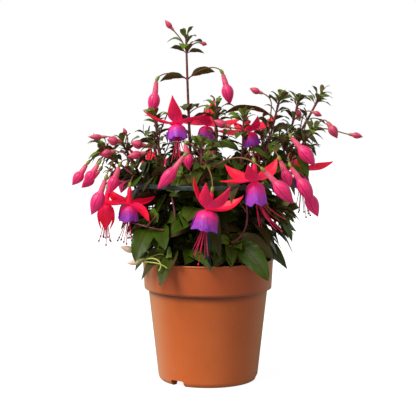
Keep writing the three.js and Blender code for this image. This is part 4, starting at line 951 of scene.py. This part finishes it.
def growLeaves(name, plant):
    # leaves placed one by one, then pairs that turn a quarter at each node, then two small ones at the tip
    shoot, index = plant["shoot"], plant["index"]
    for order, (share, tip, width, roll) in enumerate(plant["set"]):
        base, tip = stemPoint(plant["curve"], share), np.array(tip, float)
        leaf = {
            "base": base, "tip": tip, "arch": 0.16 * float(np.linalg.norm(tip - base)), "width": width,
            "side": leafSide(base, tip, heading(plant["curve"], share), roll),
            "age": 0.1, "tone": chance(index, order, 8),
        }
        mark(name, leafSamples(leaf), reach["leaf"], True)
        plant["leaves"].append(leaf)
    for k, share in enumerate(pairShares(shoot)):
        for half in range(2):
            key = 10 * k + half
            angle = shoot["turn"] + 90 * k + 180 * half + 24 * (chance(index, key, 1) - 0.5)
            length = shoot["leaf"] * min(1, 1 - 1.55 * (share - 0.6)) * (0.88 + 0.22 * chance(index, key, 2))
            age = 0.1 + 0.5 * float(smooth(share, 0.6, 1.0))
            growLeaf(name, plant, share, angle, leafForm["tilt"], length, key, False, age)
    for k in range(2):
        key = 200 + k
        angle = shoot["turn"] + 45 + 180 * k + 30 * (chance(index, key, 1) - 0.5)
        length = 11 + 5 * chance(index, key, 2)
        growLeaf(name, plant, 0.93, angle, leafForm["tipTilt"], length, key, False, 0.8)


# Fill between the leaves of the solids: pairs between the nodes, tufts in the joints, twigs and tip clusters;
# a pair of numbers is the value at the first leaf and what each next one adds
fill = {
    "stepsPerPair": 4, "lastShare": 0.97, "pairShare": 0.7, "lowShare": 1.0, "lowBelow": 235, "pairTilt": 60,
    "tuftFrom": 8, "tuftTo": 19, "tuftTilt": 42, "tuftChance": 0.45,
    "twigFrom": 20, "twigTo": 42, "twigTop": 272, "twigChance": 0.5, "twigReach": 134,
    "twigSpots": [0.35, 0.58, 0.78, 0.92], "twigLeaf": [23, -4.2], "twigTilt": [58, -6],
    "twigAge": [0.3, 0.14], "tipLeaves": 8, "tipTurn": [0, 137.5], "tipShare": [0.93, 0.0095],
    "tipLeaf": [23, -2], "tipTilt": [66, -6], "tipAge": [0.75, 0.03],
}


def stepped(key, k):  # first + k step
    return fill[key][0] + fill[key][1] * k


def growFill(name, plant):
    # four steps for each pair of the solids; above lowBelow only every fourth one, and half of these
    shoot, index = plant["shoot"], plant["index"]
    first, last, pairs = shoot["nodes"]
    for step in range(fill["stepsPerPair"] * pairs):
        share = first + (last - first) * (step + 1) / fill["stepsPerPair"] / max(pairs - 1, 1)
        low = along(plant["curve"], min(share, 1))[2] < fill["lowBelow"]
        skipped = step % fill["stepsPerPair"] != 1 or chance(index, step, 12) > 0.5
        if share > fill["lastShare"] or (skipped and not low):
            continue
        for half in range(2):
            key = 300 + 10 * step + half
            angle = shoot["turn"] + 23 * step + 20 + 180 * half + 60 * (chance(index, key, 1) - 0.5)
            size = fill["lowShare"] if low else fill["pairShare"]
            length = size * shoot["leaf"] * min(1, 1 - 1.3 * (share - 0.6))
            length *= 0.75 + 0.35 * chance(index, key, 2)
            growLeaf(name, plant, share, angle, fill["pairTilt"], length, key, True, 0.05 + 0.3 * share**2)
    for k, share in enumerate(pairShares(shoot)):
        high = along(plant["curve"], share)[2] > fill["twigTop"]
        for half in range(2):
            joint = shoot["turn"] + 90 * k + 180 * half
            key = 2000 + 20 * k + 10 * half
            if not high and chance(index, key, 7) < fill["twigChance"]:
                growTwig(name, plant, share, joint, key)
                continue
            for small in (key, key + 1):
                if high and chance(index, small, 11) > fill["tuftChance"]:
                    continue
                turn = joint + 60 * (small - key - 0.5) + 30 * (chance(index, small, 1) - 0.5)
                length = fill["tuftFrom"] + (fill["tuftTo"] - fill["tuftFrom"]) * chance(index, small, 2)
                growLeaf(name, plant, share, turn, fill["tuftTilt"], length, small, True, 0.35 + 0.4 * share)
    for k in range(fill["tipLeaves"]):
        key = 900 + k
        share, angle = stepped("tipShare", k), shoot["turn"] + stepped("tipTurn", k)
        length = (stepped("tipLeaf", k) + 4 * chance(index, key, 2)) * min(1.2, 0.55 + 0.3 * shoot["radius"])
        growLeaf(name, plant, share, angle, stepped("tipTilt", k), length, key, True, stepped("tipAge", k))


def growTwig(name, plant, share, angle, key):
    # a side twig along run/2 + out + up/10 that turns up, with pairs that shrink towards its tip
    index, curve = plant["index"], plant["curve"]
    run, base = heading(curve, share), along(curve, share)
    first, second = acrossAxes(plant, run)
    a = math.radians(angle + 40 * (chance(index, key, 8) - 0.5))
    lean = unit(0.5 * run + (first * math.cos(a) + second * math.sin(a)) + 0.1 * up)
    length = fill["twigFrom"] + (fill["twigTo"] - fill["twigFrom"]) * chance(index, key, 9)
    path = makeCurve(base, base + 0.55 * length * lean, base + length * lean + up * 0.28 * length)
    tooFar = np.hypot(*along(path, 1)[:2]) > fill["twigReach"]
    if tooFar or not isClear(name, along(path, np.linspace(0.3, 1, 6)), True):
        return
    twig = {"index": index, "curve": path, "side": unit(np.cross(lean, up)), "leaves": plant["leaves"]}
    plant["wood"].append(path)
    for k, spot in enumerate(fill["twigSpots"]):
        for half in range(2):
            small = key + 3000 * (k + 1) + half
            angle, tilt, age = 90 * k + 180 * half, stepped("twigTilt", k), stepped("twigAge", k)
            size = stepped("twigLeaf", k) * (0.75 + 0.4 * chance(index, small, 2)) * (0.6 + length / 80)
            growLeaf(name, twig, spot, angle, tilt, size, small, True, age)


def leafBatch(leaves, grid):
    # m = rib(u) + s v h(u) + a (fold |v|^1.5 h + edge wave), with a = s x run; teeth move the edge in and out
    base, tip, side, arch, width, tone, age = (
        np.array([leaf[key] for leaf in leaves], float)
        for key in ("base", "tip", "side", "arch", "width", "tone", "age")
    )
    u, v = np.linspace(0, 1, grid[0]), np.linspace(1, -1, grid[1])
    rise = (4 * arch[:, None] * u * (1 - u))[..., None]
    rib = base[:, None] + (tip - base)[:, None] * u[:, None] + up * rise
    run = unit(np.gradient(rib, axis=1))
    across = square(side[:, None], run)
    above = np.cross(across, run)
    half = leafHalfWidth(u, width[:, None])[..., None]
    phase, onEdge = 6.283 * tone[:, None, None], np.abs(v) > 0.9
    wave = half * onEdge * np.sin(14 * u[:, None] + phase)
    lift = leafForm["fold"] * np.abs(v) ** 1.5 * half + leafForm["wave"] * wave * np.sign(v + 0.01)
    lift = lift - 0.1 * half * (tone[:, None, None] - 0.2) * (2.2 * u[:, None]) ** 2 * np.abs(v)
    out = v * half + leafForm["teeth"] * half * onEdge * np.sin(40 * u[:, None] + 2 * phase)
    surface = rib[:, :, None] + across[:, :, None] * out[..., None] + above[:, :, None] * lift[..., None]
    shade = tone * (0.3 + 0.7 * smooth(np.hypot(tip[:, 0], tip[:, 1]), 30, 90))  # painted shade: leaves darker inside the bush
    return blades(surface, leafForm["thick"], "leafTop", "leafUnder", shade, age)


# Flowers: every point is a radius and an azimuth about the tube and a distance down it
flower = {
    "tubeLength": 19, "tubeRadius": 2.7, "budTube": 0.3, "sepalLength": 40, "sepalWidth": 16,
    "sepalThick": 0.9, "sepalFold": -0.14, "sepalCurl": 34, "hangingLift": -40,
    "stamens": 8, "filament": 0.48, "anther": 2.7,
    "ovaryLength": 7, "ovaryRadius": 2.1, "stalk": 0.7, "petals": 4, "petalSpread": 68, "petalThick": 0.5,
    "layer": 0.9, "petalLength": 0.97, "sepalGrid": [17, 9], "petalGrid": [17, 15],
}
corollaShares, corollaRadii = [0, 0.12, 0.3, 0.62, 0.85, 1.0], np.array([0.3, 0.62, 0.84, 0.93, 0.98, 1.0])
budShares = np.array([0.15, 0.35, 0.55, 0.75, 0.95])[:, None]


def stalkCurve(plant, share, top, axis):  # leaves the stem upward and comes down along the flower's axis
    start = stemPoint(plant["curve"], share)
    span = float(np.linalg.norm(top - start))
    return makeCurve(start, start + 0.3 * (top - start) + up * 0.28 * span, top - axis * 0.36 * span, top)


def stalkBatches(curve, young, look):
    # a thin stalk, and an ovary that ends at the tube: radius r0 + (R - r0) sin(pi x)^0.8 along its length
    body = 1.0 if young else 1 - flower["ovaryLength"] / curve["lengths"][-1]
    share = np.linspace(0, min(body + 0.02, 1), 26)
    radii = flower["stalk"] * (1 + 0.5 * smooth(-share, -0.12, 0))
    stalks = tubes(along(curve, share)[None], radii[None], look, 8)
    if young:
        return [stalks]
    share, x = np.linspace(body, 1, 12), np.linspace(0.06, 0.9, 12)
    fat = flower["stalk"] + (flower["ovaryRadius"] - flower["stalk"]) * np.sin(np.pi * x) ** 0.8
    return [stalks, tubes(along(curve, share)[None], fat[None], "ovary", 12)]


def budBatch(top, tip, radius, tube, look, tone):
    # a narrow tube that swells to R sin(pi x^0.75)^0.9, with four seams: r (1 - 0.09 |cos 2f|^6)
    length = float(np.linalg.norm(tip - top))
    share = np.linspace(0, 1, 26)
    swell = np.clip((share - tube) / (1 - tube), 0, 1)
    body = radius * np.maximum(np.sin(np.pi * swell**0.75), 0) ** 0.9
    neck = min(flower["tubeRadius"] + 0.3, 0.48 * radius) * (0.8 + 0.3 * smooth(share, 0, tube))
    radii = np.maximum(np.maximum(body, neck * (swell < 0.5)), 0.25)
    angle = 2 * np.pi * np.arange(16) / 16
    seams = 1 - 0.09 * np.abs(np.cos(2 * angle)) ** 6 * smooth(share, tube, tube + 0.2)[:, None]
    bow = unit(np.cross(tip - top, [0.3, 1.0, 0.2])) * np.sin(np.pi * share)[:, None] * 0.02 * length
    path = top + (tip - top) * share[:, None] + bow
    return tubes(path[None], (radii[:, None] * seams)[None], look, 16, tone)


def bloomFrame(bloom):  # top + axis down + first r cos f + second r sin f
    top, mouth = np.array(bloom["top"], float), np.array(bloom["mouth"], float)
    axis = unit(mouth - top)
    first = unit(np.cross(axis, [0, 1.0, 0]))
    second = np.cross(first, axis)

    def place(radius, azimuth, down):
        radius, azimuth, down = (np.asarray(w, float)[..., None] for w in (radius, azimuth, down))
        return top + axis * down + first * radius * np.cos(azimuth) + second * radius * np.sin(azimuth)

    return axis, place


def sepalPath(place, azimuth, lift, long, u):
    # a quadratic curve that leaves the tube at one angle and ends at another; closed sepals hang down
    spread = lift > flower["hangingLift"]
    leaving = max(lift - flower["sepalCurl"], -10) if spread else lift + flower["sepalCurl"]
    start = np.array([1.2, flower["tubeLength"] - 1.6] if spread else [2.4, flower["tubeLength"] - 2.5])
    points = [start]
    for length, angle in ((long / 2, math.radians(leaving)), (long, math.radians(lift))):
        points.append(start + length * np.array([math.cos(angle), -math.sin(angle)]))
    r, down = bezier(points, u).T
    return place(r, math.radians(azimuth), down)


def sepalGrid(place, azimuth, lift, twist, long, number):
    # m = path(u) + s v h(u) + a (fold v^2 h + a small wave), with h = w/2 sin(pi (0.12 + 0.88 u)^0.9)
    rows, cols = flower["sepalGrid"]
    u, v = np.linspace(0, 1, rows), np.linspace(1, -1, cols)
    path = sepalPath(place, azimuth, lift, long, u)
    side = place(1, math.radians(azimuth) + math.pi / 2, 0) - place(0, 0, 0)
    run = unit(np.gradient(path, axis=0))
    twists = math.radians(twist) * (0.4 + 0.9 * u[:, None])
    across = square(turned(np.broadcast_to(side, run.shape), run, twists), run)
    above = np.cross(across, run)
    half = flower["sepalWidth"] / 2 * np.maximum(np.sin(np.pi * (0.12 + 0.88 * u) ** 0.9), 0.015)[:, None]
    keel = flower["sepalFold"] * v**2 * half * 2.2 + 0.05 * half * np.sin(9 * u[:, None] + 2 * number) * v
    return path[:, None] + across[:, None] * (v * half)[..., None] + above[:, None] * keel[..., None]


def petalGrids(bloom, place, number):
    # petal k covers its azimuth +- spread; radius = profile(s) + layer a/2 + R s^3 ruffle; short corners
    length, radius = bloom["corolla"]
    rows, cols = flower["petalGrid"]
    s, a = np.linspace(0, 1, rows)[:, None], np.linspace(-1, 1, cols)
    grids = []
    for k in range(flower["petals"]):
        centre = 2 * np.pi * (k + 0.12 * chance(number, k, 1)) / flower["petals"] + 0.6
        azimuth = centre + math.radians(flower["petalSpread"]) * a * (0.75 + 0.25 * s)
        ruffle = 0.11 * np.sin(5 * azimuth + 6 * chance(number, 2)) + 0.05 * np.sin(13 * azimuth + number)
        r = np.interp(s, corollaShares, radius * corollaRadii) + flower["layer"] * a * 0.5
        r = r + radius * s**3 * ruffle + 0.5 * (k % 2)
        shorter = 0.2 * np.abs(a) ** 3 - 0.05 * np.sin(6 * a + 6 * chance(number, k, 4))
        shorter = shorter + 0.06 * chance(number, k, 5)
        down = flower["tubeLength"] + gap + flower["petalLength"] * length * s * (1 - shorter)
        grids.append(place(r, azimuth, down))
    return np.array(grids)


def stamenBatches(bloom, place, number):
    # filaments run from inside the tube and bow out; the first is the style, which is longest
    count, f = flower["stamens"] + 1, flower
    azimuth = 2.4 * np.arange(count) + number
    long = bloom["style"] * np.array([1.0, *[0.72 + 0.26 * chance(number, k, 6) for k in range(count - 1)]])
    spread = np.array([0.02, *[0.07 + 0.24 * chance(number, k, 7) for k in range(count - 1)]])
    start = place(0.5, azimuth, f["tubeLength"] - 3 + 0 * azimuth)
    bow = place(1.4, azimuth + 0.4, f["tubeLength"] + 0.5 * long)
    lean = bloom.get("lean", 0.0)
    sideways = np.array([lean, 0, 0]) * (long * (0.5 + 0.5 * np.cos(1.3 * azimuth)))[:, None]
    end = place(0.6 + spread * long, azimuth, f["tubeLength"] + long * (1 - 0.3 * lean)) + sideways
    t = np.linspace(0, 1, 16)[:, None]
    paths = start[:, None] * (1 - t) ** 2 + bow[:, None] * 2 * t * (1 - t) + end[:, None] * t**2
    filaments = tubes(paths, f["filament"] * np.linspace(1.1, 0.8, 16)[None], "filament", 6)
    ends = paths[:, -1] - paths[:, -2]
    tilt = unit(ends[1:] + 0.6 * place(1, azimuth[1:] + 1, 0 * azimuth[1:]) - 0.6 * place(0, 0, 0))
    x = np.linspace(-1, 1, 8)
    fat = np.sqrt(1.04 - x**2)[None]
    anthers = paths[1:, -1, None] + tilt[:, None] * (x * f["anther"] / 2)[:, None]
    knob = paths[:1, -1, None] + unit(ends[:1])[:, None] * (x * 1.3)[:, None]
    return [filaments, tubes(anthers, 0.95 * fat, "anther", 8), tubes(knob, fat, "filament", 8)]


def spaced(curve):  # points about 4 mm apart
    return along(curve, np.linspace(0, 1, max(3, int(curve["lengths"][-1] / 4) + 2)))


def markSupport():
    s, steps = support, np.arange(97) / 96
    mark("support_ring", polar(s["ring"], 2 * np.pi * steps, s["height"]), s["band"] / 2)
    for leg in np.radians(s["legs"]):
        foot, head = polar(s["legFoot"], leg, soil["edge"]), polar(s["ring"], leg, s["height"])
        mark("support_ring", foot + (head - foot) * steps[:, None], s["legWidth"] / 2 + 0.5)


def growStalk(plant, bearer, share, top, axis, young=False, look="stalk"):
    stalk = stalkCurve(plant, share, top, axis)
    plant["young"] += stalkBatches(stalk, young, look)
    mark(bearer, spaced(stalk), flower["stalk"] + stem["clearance"])


def growBloom(plants, number, name, bloom):
    f = flower
    axis, place = bloomFrame(bloom)
    bearer, share = bloom["on"]
    growStalk(plants[bearer], bearer, share, np.array(bloom["top"], float), axis)
    down = np.linspace(0, f["tubeLength"], 14)
    neck = f["tubeRadius"] * (0.72 + 0.3 * smooth(down, 0, 4) + 0.28 * smooth(down, 9, 16))
    tube = tubes(place(0 * down, 0, down)[None], neck[None], "sepal", 14)
    long = bloom.get("sepalLength", f["sepalLength"])
    grids = [sepalGrid(place, *sepal, long, 4 * number + k) for k, sepal in enumerate(bloom["sepals"])]
    grids = np.array(grids)
    tones = np.array([0.25 + 0.6 * chance(number, k, 9) for k in range(len(grids))])
    sepals = blades(grids, f["sepalThick"], "sepalInner", "sepal", tones)
    addPiece(name + ".sepals", [tube, sepals], "calyx", name + "_calyx")
    addPiece(name + ".stamens", stamenBatches(bloom, place, number), "calyx", name + "_calyx")
    hues = np.array([0.2 + 0.7 * chance(number, k, 10) for k in range(f["petals"])])
    petals = blades(petalGrids(bloom, place, number), f["petalThick"], "petal", "petal", hues)
    addPiece(name + ".petals", [petals], "corolla", name + "_corolla")
    length, radius = bloom["corolla"]
    mark(name, place(np.zeros(2), 0, np.array([0.3, 0.9]) * f["tubeLength"]), f["tubeRadius"] + 0.8)
    mark(name, grids[:, 3::3, 1::3], 2.4)
    mark(name, place(np.zeros(2), 0, f["tubeLength"] + np.array([0.35, 0.75]) * length), 0.95 * radius)
    mark(name, place(np.zeros(4), 0, f["tubeLength"] + np.array([0.5, 0.7, 0.9, 1]) * bloom["style"]), 4)


def growPlant():
    # stems, buds and flowers first; then the leaves of the solids; then the fill, clear of bare stems too
    plants = growStems()
    for name, plant in plants.items():
        mark(name, spaced(plant["curve"]), plant["shoot"]["radius"] + stem["clearance"])
    markSupport()
    for number, (name, bearer, share, top, tip, radius) in enumerate(buds):
        top, tip = np.array(top, float), np.array(tip, float)
        growStalk(plants[bearer], bearer, share, top, unit(tip - top))
        mark(name, top + (tip - top) * budShares, 0.9 * radius)
        body = budBatch(top, tip, radius, flower["budTube"], "budSkin", 0.3 + 0.5 * chance(number, 1))
        addPiece(name + ".body", [body], "bud", name)
    for number, (name, bloom) in enumerate(blooms.items()):
        growBloom(plants, number, name, bloom)
    for bearer, share, top, tip, radius in youngBuds:
        top, tip = np.array(top, float), np.array(tip, float)
        pale = bearer in ("shoot_rim", "shoot_left_skirt")
        growStalk(plants[bearer], bearer, share, top, unit(tip - top), True, "paleStalk" if pale else "stalk")
        look = "witheredSkin" if pale else "youngBudSkin"
        plants[bearer]["young"].append(budBatch(top, tip, radius, 0.2, look, 0.5))
        mark(bearer, top + (tip - top) * budShares, 0.9 * radius)
    for name, plant in plants.items():
        growLeaves(name, plant)
    for name, plant in plants.items():
        for radius, look, *points in plant["limbs"]:
            mark(name + " limbs", spaced(makeCurve(*points)), radius + stem["clearance"])
        for leaf in plant["leaves"][:len(plant["set"])]:
            mark(name + " set", bladePoints(leaf, np.linspace(0.2, 1, 14), np.linspace(-0.9, 0.9, 7)), 0.7)
    for name, plant in plants.items():
        growFill(name, plant)
    return plants


def stemBatches(plant):
    # radius R + (tip - R) share, swollen by 0.35 e^-(x / 0.012)^2 at each pair; then twigs and limbs
    radius, share = plant["shoot"]["radius"], np.linspace(0, 1, stem["rows"])
    swell = np.exp(-((share[:, None] - pairShares(plant["shoot"])) / 0.012) ** 2).sum(-1)
    radii = radius + (stem["tipRadius"] - radius) * share + 0.35 * swell
    batches = [tubes(along(plant["curve"], share)[None], radii[None], "stem", stem["sides"], 0.5, 0.15)]
    if plant["wood"]:
        paths = np.array([along(path, np.linspace(0, 1, 9)) for path in plant["wood"]])
        batches.append(tubes(paths, np.linspace(0.85, 0.45, 9)[None], "stem", 6, 0.5, 0.2))
    for radius, look, *points in plant["limbs"]:
        path, taper = along(makeCurve(*points), np.linspace(0, 1, 20)), radius * np.linspace(1, 0.75, 20)
        batches.append(tubes(path[None], taper[None], look, 8, 0.5, 0.1))
    return batches


plants = growPlant()
print("plant grown:", sum(len(plant["leaves"]) for plant in plants.values()), "leaves")
for name, plant in plants.items():
    byHand = len(plant["set"])
    batches = [leafBatch(plant["leaves"][byHand:], leafForm["grid"])]
    if byHand:
        batches.append(leafBatch(plant["leaves"][:byHand], leafForm["fineGrid"]))
    addPiece(name + ".leaves", batches, "foliage", name)
    addPiece(name + ".stems", stemBatches(plant), "foliage", name)
    if plant["young"]:
        addPiece(name + ".stalks", plant["young"], "bud", name)
print("plant dressed")

# Floor, lights and world: a plain pale studio with a soft sun from the left front
studio = {
    "floor": 4.0, "paper": 0.3, "paperRough": 0.9, "paperSeen": 0.92, "keyStrength": 2.9, "keyAngle": 30,
    "keyTurn": [46, 0, -50], "worldSeen": 1.0, "worldLight": 0.3, "worldGloss": 0.65,
}


def buildStudio():
    s, white = studio, (1, 1, 1, 1)
    tree, shader = newMaterial("floorPaper", Specular_IOR_Level=0.1)
    feed(tree, shader["Base Color"], (s["paper"],) * 3 + (1,))
    feed(tree, shader["Roughness"], s["paperRough"])
    seen = addNode(tree, "ShaderNodeLightPath")["Is Camera Ray"]
    feed(tree, shader["Emission Color"], white)
    feed(tree, shader["Emission Strength"], times(tree, seen, s["paperSeen"]))
    corners = [(x * s["floor"], y * s["floor"], 0) for x, y in ((-1, -1), (1, -1), (1, 1), (-1, 1))]
    mesh = bpy.data.meshes.new("floor")
    mesh.from_pydata(corners, [], [(0, 1, 2, 3)])
    mesh.materials.append(looks["floorPaper"])
    floor = bpy.data.objects.new("floor", mesh)
    bpy.context.scene.collection.objects.link(floor)
    sun = bpy.data.lights.new("key", "SUN")
    sun.energy, sun.angle = s["keyStrength"], math.radians(s["keyAngle"])
    light = bpy.data.objects.new("key", sun)
    light.rotation_euler = [math.radians(turn) for turn in s["keyTurn"]]
    bpy.context.scene.collection.objects.link(light)
    world = bpy.data.worlds.new("studio")
    world.use_nodes = True
    tree, background = world.node_tree, world.node_tree.nodes["Background"].inputs
    rays = addNode(tree, "ShaderNodeLightPath")
    level = ramped(tree, rays["Is Glossy Ray"], 0, 1, s["worldLight"], s["worldGloss"])
    level = maths(tree, "MAXIMUM", level, times(tree, rays["Is Camera Ray"], s["worldSeen"]))
    feed(tree, background["Strength"], level)
    feed(tree, background["Color"], white)
    bpy.context.scene.world = world
    bpy.context.scene.view_settings.view_transform = "Standard"


buildStudio()
print("studio lit")
